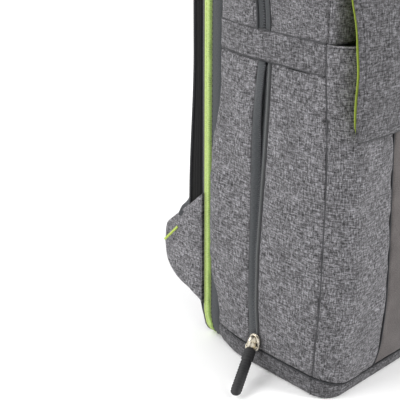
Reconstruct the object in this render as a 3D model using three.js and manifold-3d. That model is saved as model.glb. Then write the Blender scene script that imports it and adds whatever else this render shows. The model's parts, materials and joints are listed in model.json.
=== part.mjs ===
// A backpack style diaper bag: a padded fabric shell with a bottle pocket in each side,
// a front pocket under a hanging flap, and a rear panel that zips off and folds down.
// Units are millimetres. X runs across the bag, -Y is its front and +Z is up.
// The origin is the middle of the base's underside.

import * as THREE from "three";
import { LoftGeometry } from "three/addons/geometries/LoftGeometry.js";
import { mergeVertices } from "three/addons/utils/BufferGeometryUtils.js";
import Module from "manifold-3d";

const wasm = await Module();
wasm.setup();

// ---- Driving dimensions ----

const HALF_WIDTH = 145;
const HEIGHT = 410;
const TOP_RADIUS = 55;
const WALL = 3;
const GAP = 0.3;

const FRONT_Y = -62.5; // face of the front pocket
const CORNER_RADIUS = 17; // vertical front corners, in plan
const SIDE_FRONT_Y = -45; // seam between the wrapped front corner and the side
const PANEL_FRONT_Y = -50; // face of the front body panel
const SIDE_REAR_Y = 53.7; // where the side meets the rear binding

const BASE_HEIGHT = 15;
const BASE_FLOOR = 4;
const BAND_LOW = 237;
const BAND_HIGH = 257;

// The side leans inwards towards the rear: how far, at these distances back.
const LEAN_START_Y = 20;
const LEAN_END_Y = 62;
const LEAN_INSET = 8;

const POCKET_ZIP_Y = 9.5;
const POCKET_SLOT = 6.4;
const POCKET_TAPE_FRONT = 3;
const POCKET_TAPE_REAR = 6;
const MAIN_ZIP_Y = 14.4;
const MAIN_TAPE = 4.2;
const POUCH_DEPTH = 62;
const POUCH_FRONT_Y = -25;
const POUCH_REAR_Y = 50;
const POUCH_LOW = 18;
const POUCH_HIGH = 234;
const POUCH_WALL = 2.4;

const REAR_HALF_WIDTH = 136.5;
const REAR_TOP = 402;
const REAR_TOP_RADIUS = 50;
const REAR_LOW = 1;
const REAR_LOW_RADIUS = 14;
const BINDING_Y = [54, 62.7];
const SHELL_TAPE_Y = [63.2, 66.8];
const PANEL_TAPE_Y = [67.5, 71.1];
const GUSSET_Y = [71.4, 85.3];
const COVER_Y = [85.6, 89.4];
const REAR_FLOOR_Y = [67.2, 84.6];
const BOARD_Y = [83.9, 85.2];
const LINING_Y = [81.8, 83.3];

const FLAP = { halfWidth: 141, low: 195, high: 372, lean: 18, topY: -52.6, radius: 12 };
const FLAP_COVER = 2.2;
const FLAP_LINING = 1.3;
const FLAP_LINING_EDGE = 1.3; // the lining shows past the cover by this much

const FABRIC = { heather: 0x7a787b, taupe: 0x6b6665, black: 0x141414 };

// ---- Materials ----

function material(color, roughness, metalness = 0) {
  return new THREE.MeshStandardMaterial({ color, roughness, metalness });
}

const heather = () => material(FABRIC.heather, 0.92);
const taupe = () => material(FABRIC.taupe, 0.85);
const charcoal = () => material(0x45484c, 0.8);
const lime = () => material(0xa8bf78, 0.7);
const blackMesh = () => material(FABRIC.black, 0.95);
const webbing = () => material(0x3c3e42, 0.75);
const board = () => material(0x8a7a62, 0.9);
const lining = () => material(0x5f6468, 0.85);
const nickel = () => material(0xb5a890, 0.3, 1);
const rubber = () => material(0x232326, 0.6);
const plastic = () => material(0x1c1d20, 0.45);

// ---- Closed surfaces ----

function signedVolume(geometry) {
  const position = geometry.attributes.position;
  const index = geometry.index.array;
  const [a, b, c] = [new THREE.Vector3(), new THREE.Vector3(), new THREE.Vector3()];
  let total = 0;
  for (let i = 0; i < index.length; i += 3) {
    a.fromBufferAttribute(position, index[i]);
    b.fromBufferAttribute(position, index[i + 1]);
    c.fromBufferAttribute(position, index[i + 2]);
    total += a.dot(b.cross(c)) / 6;
  }
  return total;
}

// Merges shared vertices, and turns the faces outwards.
function closed(geometry) {
  const bare = new THREE.BufferGeometry();
  bare.setAttribute("position", geometry.attributes.position.clone());
  bare.setIndex(geometry.index);
  const merged = mergeVertices(bare, 1e-3);
  if (signedVolume(merged) < 0) {
    const index = merged.index.array;
    for (let i = 0; i < index.length; i += 3) {
      [index[i + 1], index[i + 2]] = [index[i + 2], index[i + 1]];
    }
  }
  merged.computeVertexNormals();
  return merged;
}

function mirrored(geometry) {
  return closed(geometry.clone().scale(-1, 1, 1));
}

function solid(geometry) {
  const merged = closed(geometry);
  const mesh = new wasm.Mesh({
    numProp: 3,
    vertProperties: merged.attributes.position.array,
    triVerts: new Uint32Array(merged.index.array),
  });
  return new wasm.Manifold(mesh);
}

function fromSolid(body) {
  const mesh = body.getMesh();
  const geometry = new THREE.BufferGeometry();
  geometry.setAttribute("position", new THREE.BufferAttribute(mesh.vertProperties, 3));
  geometry.setIndex(new THREE.BufferAttribute(mesh.triVerts, 1));
  return closed(geometry);
}

function joined(...geometries) {
  return fromSolid(geometries.map(solid).reduce((all, next) => all.add(next)));
}

function cut(geometry, ...tools) {
  return fromSolid(tools.map(solid).reduce((rest, tool) => rest.subtract(tool), solid(geometry)));
}

// ---- Outlines and extrusions ----

const point = (x, y) => new THREE.Vector2(x, y);

function arc(cx, cy, radius, fromDegrees, toDegrees, steps = 6) {
  const points = [];
  for (let i = 0; i <= steps; i += 1) {
    const t = THREE.MathUtils.degToRad(fromDegrees + ((toDegrees - fromDegrees) * i) / steps);
    points.push(point(cx + radius * Math.cos(t), cy + radius * Math.sin(t)));
  }
  return points;
}

function prism(outline, depth, hole) {
  const shape = new THREE.Shape(outline);
  if (hole) shape.holes.push(new THREE.Path(hole));
  return new THREE.ExtrudeGeometry(shape, { depth, bevelEnabled: false, steps: 1 });
}

// An outline in plan (x, y), raised from low to high.
function prismZ(outline, low, high) {
  return closed(prism(outline, high - low).translate(0, 0, low));
}

// An outline seen from the front (x, z), taken from y0 back to y1.
function prismY(outline, y0, y1, hole) {
  return closed(prism(outline, y1 - y0, hole).rotateX(Math.PI / 2).translate(0, y1, 0));
}

// An outline seen from the side (y, z), taken from x0 to x1.
function prismX(outline, x0, x1) {
  const axes = new THREE.Matrix4().makeBasis(
    new THREE.Vector3(0, 1, 0),
    new THREE.Vector3(0, 0, 1),
    new THREE.Vector3(1, 0, 0),
  );
  return closed(prism(outline, x1 - x0).applyMatrix4(axes).translate(x0, 0, 0));
}

function box(x0, x1, y0, y1, z0, z1) {
  const geometry = new THREE.BoxGeometry(x1 - x0, y1 - y0, z1 - z0);
  return closed(geometry.translate((x0 + x1) / 2, (y0 + y1) / 2, (z0 + z1) / 2));
}

// The bag's front view outline: straight sides and an arched top, open at the bottom.
function archLine(halfWidth, top, radius, low) {
  return [
    point(-halfWidth, low),
    ...arc(-halfWidth + radius, top - radius, radius, 180, 90),
    ...arc(halfWidth - radius, top - radius, radius, 90, 0),
    point(halfWidth, low),
  ];
}

// The same with round bottom corners, ending where the bottom turns flat.
function ringLine(inset) {
  const half = REAR_HALF_WIDTH - inset;
  const lowRadius = REAR_LOW_RADIUS - inset;
  const topRadius = REAR_TOP_RADIUS - inset;
  const low = REAR_LOW + inset;
  const top = REAR_TOP - inset;
  return [
    ...arc(-half + lowRadius, low + lowRadius, lowRadius, 270, 180, 4),
    ...arc(-half + topRadius, top - topRadius, topRadius, 180, 90),
    ...arc(half - topRadius, top - topRadius, topRadius, 90, 0),
    ...arc(half - lowRadius, low + lowRadius, lowRadius, 0, -90, 4),
  ];
}

// A strip that follows the arch, WALL thick.
function archStrip(inset, low, y0, y1) {
  const half = HALF_WIDTH - inset;
  const top = HEIGHT - inset;
  const outer = archLine(half, top, TOP_RADIUS, low);
  const inner = archLine(half - WALL, top - WALL, TOP_RADIUS - WALL, low).reverse();
  return prismY([...outer, ...inner], y0, y1);
}

function closedRing(inset, thick, y0, y1) {
  return prismY(ringLine(inset), y0, y1, ringLine(inset + thick).reverse());
}

function openRing(inset, thick, y0, y1) {
  return prismY([...ringLine(inset), ...ringLine(inset + thick).reverse()], y0, y1);
}

// How far the side leans in at a distance back.
function lean(y) {
  const share = THREE.MathUtils.clamp((y - LEAN_START_Y) / (LEAN_END_Y - LEAN_START_Y), 0, 1);
  return LEAN_INSET * share ** 1.5;
}

// The left side's wall between two distances back, as an outline in plan.
function sideWall(y0, y1, thick = WALL, proud = 0) {
  const steps = y1 > LEAN_START_Y ? 4 : 1;
  const outer = [];
  for (let i = 0; i <= steps; i += 1) {
    const y = y0 + ((y1 - y0) * i) / steps;
    outer.push(point(-HALF_WIDTH - proud + lean(y), y));
  }
  const inner = outer.map((p) => point(p.x + thick, p.y)).reverse();
  return [...outer, ...inner];
}

// A flat strap through points, each given as centre, width direction, width and thickness.
function ribbon(stations) {
  const centres = stations.map((s) => s.at);
  const sections = stations.map((s, i) => {
    const before = centres[Math.max(i - 1, 0)];
    const after = centres[Math.min(i + 1, centres.length - 1)];
    const along = after.clone().sub(before).normalize();
    const across = s.across.clone().addScaledVector(along, -s.across.dot(along)).normalize();
    const up = along.clone().cross(across);
    return [[-1, -1], [1, -1], [1, 1], [-1, 1]].map(([u, v]) =>
      s.at
        .clone()
        .addScaledVector(across, (u * s.width) / 2)
        .addScaledVector(up, (v * s.thick) / 2),
    );
  });
  return closed(new LoftGeometry(sections, { capStart: true, capEnd: true }));
}

function add(group, name, geometry, finish) {
  const mesh = new THREE.Mesh(geometry, finish);
  mesh.name = name;
  group.add(mesh);
}

// Adds a left piece and its mirror image on the right.
function addPair(group, name, geometry, finish) {
  add(group, name + "_left", geometry, finish());
  add(group, name + "_right", mirrored(geometry), finish());
}

// ---- Base ----

function planOutline(inset, rearY) {
  const half = HALF_WIDTH - inset;
  const front = FRONT_Y + inset;
  const radius = CORNER_RADIUS - inset;
  const leftSide = [];
  for (let i = 0; i <= 4; i += 1) {
    const y = LEAN_START_Y + ((rearY - LEAN_START_Y) * i) / 4;
    leftSide.push(point(-half + lean(y), y));
  }
  const rightSide = leftSide.map((p) => point(-p.x, p.y)).reverse();
  return [
    ...arc(half - radius, front + radius, radius, 270, 360),
    ...rightSide.reverse(),
    ...leftSide.reverse(),
    ...arc(-half + radius, front + radius, radius, 180, 270),
  ];
}

function basePan() {
  const outer = prismZ(planOutline(0, SIDE_REAR_Y), 0, BASE_HEIGHT);
  const hollow = prismZ(planOutline(WALL, SIDE_REAR_Y - WALL), BASE_FLOOR, BASE_HEIGHT + 1);
  return cut(outer, hollow);
}

function baseBoard() {
  return prismZ(planOutline(WALL + 4, SIDE_REAR_Y - WALL - 4), BASE_FLOOR + GAP, BASE_FLOOR + 3);
}

// A thin cord of piping round the front and sides, over the seam at the base's rim.
function basePiping() {
  const proud = 1.3;
  const rearY = SIDE_REAR_Y;
  const outer = prismZ(planOutline(-proud, rearY), BASE_HEIGHT - 1.6, BASE_HEIGHT + 0.8);
  const inner = prismZ(planOutline(-GAP, rearY + 5), BASE_HEIGHT - 3, BASE_HEIGHT + 3);
  return cut(outer, inner);
}

function addBase(group) {
  add(group, "base_pan", basePan(), heather());
  add(group, "base_board", baseBoard(), board());
  add(group, "base_piping", basePiping(), charcoal());
  const rearFloorHalf = REAR_HALF_WIDTH - REAR_LOW_RADIUS - 1;
  const [y0, y1] = REAR_FLOOR_Y;
  const rearFloor = box(-rearFloorHalf, rearFloorHalf, y0, y1, REAR_LOW, REAR_LOW + WALL);
  add(group, "rear_floor", rearFloor, blackMesh());
}

// ---- Sides ----

const WALL_LOW = BASE_HEIGHT + 1.1;
const SLOT_FRONT_Y = POCKET_ZIP_Y - POCKET_SLOT / 2;
const SLOT_REAR_Y = POCKET_ZIP_Y + POCKET_SLOT / 2;

function bottlePouch() {
  const x0 = -HALF_WIDTH + WALL + GAP;
  const front = [POUCH_FRONT_Y, POUCH_REAR_Y];
  const outline = [
    point(x0, front[0]),
    point(x0, LEAN_START_Y),
    point(x0 + lean(POUCH_REAR_Y) + GAP, front[1]),
    point(x0 + POUCH_DEPTH, front[1]),
    point(x0 + POUCH_DEPTH, front[0]),
  ];
  const outer = prismZ(outline, POUCH_LOW, POUCH_HIGH);
  const hollow = box(
    x0 - 10,
    x0 + POUCH_DEPTH - POUCH_WALL,
    POUCH_FRONT_Y + POUCH_WALL,
    POUCH_REAR_Y - POUCH_WALL,
    POUCH_LOW + POUCH_WALL,
    POUCH_HIGH - POUCH_WALL,
  );
  return cut(outer, hollow);
}

function addSides(group) {
  const high = BAND_LOW - GAP;
  const frontTape = [SLOT_FRONT_Y - POCKET_TAPE_FRONT, SLOT_FRONT_Y];
  const rearTape = [SLOT_REAR_Y, SLOT_REAR_Y + POCKET_TAPE_REAR];
  const frontPanel = sideWall(SIDE_FRONT_Y, frontTape[0] - GAP);
  const rearPanel = sideWall(rearTape[1] + GAP, SIDE_REAR_Y);
  addPair(group, "side_panel_front", prismZ(frontPanel, WALL_LOW, high), heather);
  addPair(group, "side_panel_rear", prismZ(rearPanel, WALL_LOW, high), heather);
  addPair(group, "bottle_zip_tape_front", prismZ(sideWall(...frontTape, 2), WALL_LOW, high), charcoal);
  addPair(group, "bottle_zip_tape_rear", prismZ(sideWall(...rearTape, 2), WALL_LOW, high), charcoal);
  const band = sideWall(SIDE_FRONT_Y, SIDE_REAR_Y);
  addPair(group, "side_band", prismZ(band, BAND_LOW, BAND_HIGH), heather);
  addPair(group, "bottle_pouch", bottlePouch(), lining);
}

// ---- Upper body ----

const UPPER_LOW = BAND_HIGH + GAP;

function addUpper(group) {
  const tapeFront = [MAIN_ZIP_Y - MAIN_TAPE - 0.2, MAIN_ZIP_Y - 0.2];
  const tapeRear = [MAIN_ZIP_Y + 0.2, MAIN_ZIP_Y + 0.2 + MAIN_TAPE];
  const front = archStrip(0, UPPER_LOW, PANEL_FRONT_Y + WALL + GAP, tapeFront[0] - GAP);
  const rear = archStrip(2, UPPER_LOW, tapeRear[1] + GAP, SIDE_REAR_Y);
  add(group, "upper_gusset_front", front, heather());
  add(group, "upper_gusset_rear", rear, heather());
  add(group, "main_zip_tape_front", archStrip(0.6, UPPER_LOW, ...tapeFront), charcoal());
  add(group, "main_zip_tape_rear", archStrip(0.6, UPPER_LOW, ...tapeRear), charcoal());
}

function frontBodyPanel() {
  const inside = HALF_WIDTH - WALL - 1.5;
  const upper = archLine(HALF_WIDTH, HEIGHT, TOP_RADIUS, UPPER_LOW);
  const outline = [point(-inside, WALL_LOW), point(-inside, UPPER_LOW), ...upper];
  outline.push(point(inside, UPPER_LOW), point(inside, WALL_LOW));
  return prismY(outline, PANEL_FRONT_Y, PANEL_FRONT_Y + WALL);
}

// ---- Front pocket ----

const PIPING_X_HIGH = 95;
const PIPING_X_LOW = 84.5;
const PIPING_HALF = 1.4;

// The piping swings outwards from the top down, then back in above the base.
function pipingLine(offset) {
  const control = [
    [PIPING_X_HIGH, BAND_HIGH],
    [PIPING_X_HIGH - 4, 170],
    [PIPING_X_LOW, 90],
    [PIPING_X_LOW, 40],
    [PIPING_X_LOW + 5, WALL_LOW],
  ];
  const curve = new THREE.SplineCurve(control.map(([x, z]) => point(-x + offset, z)));
  return curve.getPoints(12);
}

function pocketWrap() {
  const radius = CORNER_RADIUS;
  const corner = (inset) =>
    arc(-HALF_WIDTH + radius, FRONT_Y + radius, radius - inset, 180, 270);
  const outer = [point(-HALF_WIDTH, SIDE_FRONT_Y - GAP), ...corner(0), point(0, FRONT_Y)];
  const inner = [point(0, FRONT_Y + WALL), ...corner(WALL).reverse()];
  inner.push(point(-HALF_WIDTH + WALL, SIDE_FRONT_Y - GAP));
  const whole = prismZ([...outer, ...inner], WALL_LOW, BAND_HIGH);
  const beyond = [...pipingLine(-PIPING_HALF - GAP), point(40, 0), point(40, 300)];
  beyond.push(point(-PIPING_X_HIGH - PIPING_HALF - GAP, 300));
  return cut(whole, prismY(beyond, FRONT_Y - 5, FRONT_Y + 10));
}

function pocketPiping() {
  const outline = [...pipingLine(-PIPING_HALF), ...pipingLine(PIPING_HALF).reverse()];
  return prismY(outline, FRONT_Y - 1.4, FRONT_Y + WALL);
}

function pocketCentre() {
  const left = pipingLine(PIPING_HALF + GAP);
  const right = left.map((p) => point(-p.x, p.y)).reverse();
  return prismY([...left, ...right], FRONT_Y, FRONT_Y + WALL);
}

const SNAP = { z: 225, radius: 9 };

function disc(radius, y0, y1, z) {
  const geometry = new THREE.CylinderGeometry(radius, radius, y1 - y0, 20);
  return closed(geometry.translate(0, (y0 + y1) / 2, z));
}

function addFront(group) {
  add(group, "front_body_panel", frontBodyPanel(), heather());
  addPair(group, "pocket_wrap", pocketWrap(), heather);
  add(group, "pocket_centre_panel", pocketCentre(), taupe());
  addPair(group, "pocket_piping", pocketPiping(), charcoal);
  const y1 = FRONT_Y - GAP;
  add(group, "snap_socket", disc(SNAP.radius, y1 - 1.2, y1, SNAP.z), nickel());
}

// ---- Front flap ----

// The flap is drawn hanging straight down from its hinge, then leaned forwards.
function leanedFlap(geometry) {
  const height = FLAP.high - FLAP.low;
  const angle = -Math.atan2(FLAP.lean, height);
  return closed(
    geometry
      .translate(0, -FLAP.topY, -FLAP.high)
      .rotateX(angle)
      .translate(0, FLAP.topY, FLAP.high),
  );
}

function flapOutline(edge) {
  const half = FLAP.halfWidth + edge;
  const low = FLAP.low - edge;
  const radius = FLAP.radius + edge;
  return [
    point(-half, FLAP.high),
    ...arc(-half + radius, low + radius, radius, 180, 270, 4),
    ...arc(half - radius, low + radius, radius, 270, 360, 4),
    point(half, FLAP.high),
  ];
}

function addFlap(group) {
  const liningFace = FLAP.topY;
  const liningY = [liningFace - FLAP_LINING, liningFace];
  const coverY = [liningY[0] - GAP - FLAP_COVER, liningY[0] - GAP];
  const inner = prismY(flapOutline(FLAP_LINING_EDGE), ...liningY);
  add(group, "flap_cover", leanedFlap(prismY(flapOutline(0), ...coverY)), heather());
  add(group, "flap_lining", leanedFlap(inner), lime());
  const stud = disc(SNAP.radius - 2, liningFace + GAP, liningFace + 1.5, SNAP.z + 2);
  add(group, "snap_stud", leanedFlap(stud), nickel());
}

// ---- Top handle ----

const HANDLE = { half: 45, rise: 30, y: 38, pivot: 415, width: 12, thick: 8 };

// A rolled handle: two upright ends joined by a shallow arch.
function handle() {
  const low = HANDLE.pivot;
  const bend = 16;
  const route = [
    new THREE.Vector3(-HANDLE.half, HANDLE.y, low),
    new THREE.Vector3(-HANDLE.half, HANDLE.y, low + 6),
    new THREE.Vector3(-HANDLE.half + 5, HANDLE.y, low + bend),
    new THREE.Vector3(-HANDLE.half + 16, HANDLE.y, low + HANDLE.rise - 7),
    new THREE.Vector3(0, HANDLE.y, low + HANDLE.rise),
  ];
  const mirror = route.slice(0, 4).reverse();
  const right = mirror.map((p) => new THREE.Vector3(-p.x, p.y, p.z));
  const across = new THREE.Vector3(0, 1, 0);
  const sizes = { across, width: HANDLE.width, thick: HANDLE.thick };
  return ribbon([...route, ...right].map((at) => ({ at, ...sizes })));
}

// ---- Rear panel ----

const PAD = { x0: 14, x1: 96, low: 60, high: 346, y0: 89.8, y1: 98.5 };

function roundedRectangle(x0, x1, z0, z1, radius) {
  return [
    ...arc(x0 + radius, z0 + radius, radius, 180, 270, 4),
    ...arc(x1 - radius, z0 + radius, radius, 270, 360, 4),
    ...arc(x1 - radius, z1 - radius, radius, 0, 90, 4),
    ...arc(x0 + radius, z1 - radius, radius, 90, 180, 4),
  ];
}

// A shoulder strap leaves the back high up, bows away from it and tapers downwards.
const STRAP_ROUTE = [
  [-44, 101.5, 375, 56],
  [-47, 107.5, 364, 58],
  [-52, 112, 350, 60],
  [-59, 119, 322, 60],
  [-67, 122, 290, 56],
  [-73, 119.5, 260, 50],
  [-80, 115, 232, 46],
  [-88, 109.5, 208, 42],
];
const STRAP_THICK = 10;

function shoulderStrap() {
  const across = new THREE.Vector3(1, 0, 0.3);
  const stations = STRAP_ROUTE.map(([x, y, z, width]) => ({
    at: new THREE.Vector3(x, y, z),
    across,
    width,
    thick: STRAP_THICK,
  }));
  return ribbon(stations);
}

// The adjuster at the strap's lower end.
function ladderLock() {
  const plate = box(-17, 17, -2, 2, -13, 13);
  return closed(plate.rotateY(-0.42).rotateX(0.16).translate(-96, 104.4, 190.5));
}

// The webbing runs down and outwards from the ladder lock to the wing.
function strapWebbing() {
  const route = [
    [-105, 103.6, 172],
    [-119, 104.2, 138],
    [-129.5, 103, 107],
  ];
  const across = new THREE.Vector3(0.5, 0.8, 0.2);
  const stations = route.map(([x, y, z]) => ({
    at: new THREE.Vector3(x, y, z),
    across,
    width: 20,
    thick: 2.2,
  }));
  return ribbon(stations);
}

const WING_OUTLINE = [
  [74, 118],
  [90.5, 104.5],
  [102, 94],
  [115.4, 80.4],
  [119, 68],
  [119.3, 58.4],
  [116.1, 46],
  [101.7, 32.5],
  [74, 24],
];
const WING_X = [-REAR_HALF_WIDTH - 3.5, -REAR_HALF_WIDTH - GAP];

function wing() {
  return prismX(WING_OUTLINE.map(([y, z]) => point(y, z)), ...WING_X);
}

function addRearPanel(group) {
  add(group, "rear_zip_tape_panel", openRing(0, WALL, ...PANEL_TAPE_Y), lime());
  const gusset = openRing(0, WALL, ...GUSSET_Y);
  add(group, "rear_gusset", gusset, blackMesh());
  add(group, "rear_cover", prismY(ringLine(0), ...COVER_Y), heather());
  const innerLine = ringLine(WALL + 3);
  add(group, "rear_board", prismY(innerLine, ...BOARD_Y), board());
  add(group, "rear_lining", prismY(innerLine, ...LINING_Y), lining());
  const pad = prismY(roundedRectangle(-PAD.x1, -PAD.x0, PAD.low, PAD.high, 26), PAD.y0, PAD.y1);
  addPair(group, "back_pad", pad, blackMesh);
  addPair(group, "shoulder_strap", shoulderStrap(), heather);
  addPair(group, "ladder_lock", ladderLock(), plastic);
  addPair(group, "strap_webbing", strapWebbing(), webbing);
  addPair(group, "strap_wing", wing(), heather);
}

function addRearShell(group) {
  add(group, "rear_binding", closedRing(0, WALL, ...BINDING_Y), charcoal());
  add(group, "rear_zip_tape_shell", closedRing(0, WALL, ...SHELL_TAPE_Y), lime());
}

// ---- Zip sliders and pulls ----

const SLIDER = { length: 13, width: 9.4, plate: 2.6, bail: 5.6, bar: 1.4 };
const BAIL_AXIS = SLIDER.plate + 2.7;

// Drawn flat: the zip runs along Y, and Z points away from the bag.
function sliderShape() {
  const half = SLIDER.length / 2;
  const side = SLIDER.width / 2;
  const outline = [
    point(-side + 1.5, -half),
    point(side - 1.5, -half),
    point(side, half - 4),
    point(side - 2, half),
    point(-side + 2, half),
    point(-side, half - 4),
  ];
  const plate = prismZ(outline, 0, SLIDER.plate);
  const reach = 5.4;
  const high = SLIDER.plate + SLIDER.bail;
  const bailOutline = [
    point(-reach, SLIDER.plate - 0.6),
    point(-reach, high - 1.6),
    point(-reach + 1.6, high),
    point(reach - 1.6, high),
    point(reach, high - 1.6),
    point(reach, SLIDER.plate - 0.6),
    point(reach - SLIDER.bar, SLIDER.plate - 0.6),
    point(reach - SLIDER.bar, high - SLIDER.bar),
    point(-reach + SLIDER.bar, high - SLIDER.bar),
    point(-reach + SLIDER.bar, SLIDER.plate - 0.6),
  ];
  return joined(plate, prismX(bailOutline, -1, 1));
}

const PULL = { length: 46, width: 7.4, thick: 4.4, eye: 11, eyeHalf: 3.8, eyeThick: 1.4, rail: 1.1 };

// Drawn flat: the eye's inner end is at the origin, and the grip runs along +X.
// The eye narrows at its inner end, so that it can turn under the slider's bail.
function pullShape() {
  const wide = PULL.eyeHalf;
  const eyeOutline = [
    point(-1.6, -wide + 1.8),
    point(1.2, -wide),
    point(PULL.eye, -wide),
    point(PULL.eye, wide),
    point(1.2, wide),
    point(-1.6, wide - 1.8),
  ];
  const hole = wide - PULL.rail;
  const holeOutline = [
    point(-0.4, -hole + 1.3),
    point(1.5, -hole),
    point(PULL.eye - 3, -hole),
    point(PULL.eye - 3, hole),
    point(1.5, hole),
    point(-0.4, hole - 1.3),
  ];
  const eye = cut(
    prismZ(eyeOutline, -PULL.eyeThick / 2, PULL.eyeThick / 2),
    prismZ(holeOutline, -PULL.eyeThick, PULL.eyeThick),
  );
  const half = PULL.width / 2;
  const end = PULL.length - half;
  const outline = [
    point(PULL.eye - 1.5, -half + 1),
    point(PULL.eye + 1.5, -half),
    ...arc(end, 0, half, -90, 90, 4),
    point(PULL.eye + 1.5, half),
    point(PULL.eye - 1.5, half - 1),
  ];
  return joined(eye, prismZ(outline, -PULL.thick / 2, PULL.thick / 2));
}

// Turns a flat drawing so that its X and Y axes lie along the given directions.
function turned(geometry, xAxis, yAxis, at) {
  const zAxis = xAxis.clone().cross(yAxis);
  const matrix = new THREE.Matrix4().makeBasis(xAxis, yAxis, zAxis).setPosition(at);
  return closed(geometry.clone().applyMatrix4(matrix));
}

const X_AXIS = new THREE.Vector3(1, 0, 0);
const Y_AXIS = new THREE.Vector3(0, 1, 0);
const Z_AXIS = new THREE.Vector3(0, 0, 1);

const SIDE_SLIDER = { x: -HALF_WIDTH - 1.7, z: 20.5 };
const SIDE_PULL_TIP = new THREE.Vector3(-187, -13.5, 2.9);
const MAIN_SLIDER_X = 9.5;
const REAR_SLIDER_Z = 176;

function sidePull() {
  const eye = new THREE.Vector3(SIDE_SLIDER.x - BAIL_AXIS, POCKET_ZIP_Y, SIDE_SLIDER.z - 1.5);
  const along = SIDE_PULL_TIP.clone().sub(eye).normalize();
  const across = Z_AXIS.clone().cross(along).normalize();
  return turned(pullShape(), along, across, eye);
}

function addSliders(group) {
  const sideAt = new THREE.Vector3(SIDE_SLIDER.x, POCKET_ZIP_Y, SIDE_SLIDER.z);
  const sideSlider = turned(sliderShape(), Y_AXIS.clone().negate(), Z_AXIS, sideAt);
  addPair(group, "bottle_zip_slider", sideSlider, nickel);
  addPair(group, "bottle_zip_pull", sidePull(), rubber);

  const topAt = new THREE.Vector3(-MAIN_SLIDER_X, MAIN_ZIP_Y, HEIGHT + GAP);
  const topSlider = turned(sliderShape(), Y_AXIS.clone().negate(), X_AXIS, topAt);
  addPair(group, "main_zip_slider", topSlider, nickel);
  const topEye = new THREE.Vector3(-MAIN_SLIDER_X - 1, MAIN_ZIP_Y, HEIGHT + GAP + BAIL_AXIS);
  const tilt = 0.06;
  const outwards = new THREE.Vector3(-Math.cos(tilt), 0, -Math.sin(tilt));
  addPair(group, "main_zip_pull", turned(pullShape(), outwards, Y_AXIS, topEye), rubber);

  const rearY = (SHELL_TAPE_Y[1] + PANEL_TAPE_Y[0]) / 2;
  const rearAt = new THREE.Vector3(REAR_HALF_WIDTH + GAP, rearY, REAR_SLIDER_Z);
  add(group, "rear_zip_slider", turned(sliderShape(), Y_AXIS, Z_AXIS, rearAt), nickel());
  const rearEye = rearAt.clone().add(new THREE.Vector3(BAIL_AXIS, 0, -1));
  const down = Z_AXIS.clone().negate();
  add(group, "rear_zip_pull", turned(pullShape(), down, Y_AXIS, rearEye), rubber());
}

// ---- The whole bag ----

const bag = new THREE.Group();
bag.name = "diaper_bag";
addBase(bag);
addSides(bag);
addUpper(bag);
addFront(bag);
addFlap(bag);
add(bag, "top_handle", handle(), webbing());
addRearShell(bag);
addRearPanel(bag);
addSliders(bag);

export default bag;
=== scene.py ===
"""The looks of a backpack style diaper bag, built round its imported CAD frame.

Metres, +Z up, -Y the front. Fabric pieces are grids that carry their own flat sizes as
UVs, so that one weave runs over all of them at one scale. The side, pocket and gusset
panels and the back pads are blown up a little by cloth simulation between their seams.
Pieces that the bag has on both sides are made on its left and mirrored, apart from the zip
sliders and their pulls.
"""

import json
import math

import bmesh
import bpy
import numpy as np
from mathutils import Matrix, Vector, noise


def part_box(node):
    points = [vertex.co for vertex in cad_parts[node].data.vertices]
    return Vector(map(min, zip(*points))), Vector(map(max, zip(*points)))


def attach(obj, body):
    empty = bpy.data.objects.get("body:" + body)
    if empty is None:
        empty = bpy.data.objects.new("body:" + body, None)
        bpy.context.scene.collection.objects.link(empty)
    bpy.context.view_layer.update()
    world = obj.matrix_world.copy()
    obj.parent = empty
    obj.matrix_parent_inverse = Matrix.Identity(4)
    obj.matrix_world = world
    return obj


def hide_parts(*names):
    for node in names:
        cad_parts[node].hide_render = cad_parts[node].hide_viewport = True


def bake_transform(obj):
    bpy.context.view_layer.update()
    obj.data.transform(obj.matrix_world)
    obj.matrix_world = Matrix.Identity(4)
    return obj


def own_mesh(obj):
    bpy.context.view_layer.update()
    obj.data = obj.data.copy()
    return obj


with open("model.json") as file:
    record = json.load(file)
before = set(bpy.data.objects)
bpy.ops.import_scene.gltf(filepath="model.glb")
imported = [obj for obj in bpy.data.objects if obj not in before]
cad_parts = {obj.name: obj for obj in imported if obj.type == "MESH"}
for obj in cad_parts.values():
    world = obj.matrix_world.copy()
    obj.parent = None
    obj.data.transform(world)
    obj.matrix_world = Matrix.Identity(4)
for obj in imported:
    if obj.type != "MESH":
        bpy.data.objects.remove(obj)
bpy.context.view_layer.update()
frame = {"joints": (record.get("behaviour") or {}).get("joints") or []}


# ---- Sizes from the frame ----


def low(node):
    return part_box(node)[0]


def high(node):
    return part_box(node)[1]


def depths(node):
    """Where a node starts and ends along Y."""
    return low(node).y, high(node).y


MM = 0.001
HALF = high("base_pan").x
FRONT_Y = low("pocket_centre_panel").y
PANEL_Y = low("front_body_panel").y
SEAM_Y = low("side_panel_front_left").y
SIDE_REAR_Y = high("side_panel_rear_left").y
BASE_Z = high("base_pan").z
BAND_LOW = low("side_band_left").z
BAND_HIGH = high("side_band_left").z
TOP_Z = high("upper_gusset_front").z
TOP_RADIUS = 0.055
CORNER_RADIUS = 0.017
MAIN_TAPE = (low("main_zip_tape_front").y, high("main_zip_tape_rear").y)
MAIN_ZIP_Y = sum(MAIN_TAPE) / 2
RING_HALF = high("rear_cover").x
RING_TOP = high("rear_cover").z
RING_LOW = low("rear_cover").z
RING_TOP_RADIUS = 0.050
RING_LOW_RADIUS = 0.007
REAR_LOW_RADIUS = 0.056
BINDING_Y = depths("rear_binding")
GUSSET_Y = depths("rear_gusset")
COVER_Y = high("rear_cover").y
LEAN_START = 0.020
LEAN_END = 0.062
LEAN_INSET = HALF - RING_HALF
FABRIC_THICK = 0.0018
JOINTS = {j["name"]: j for j in frame["joints"]}
RIGHTWARD = Vector((1, 0, 0))
LEFTWARD = Vector((-1, 0, 0))
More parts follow.
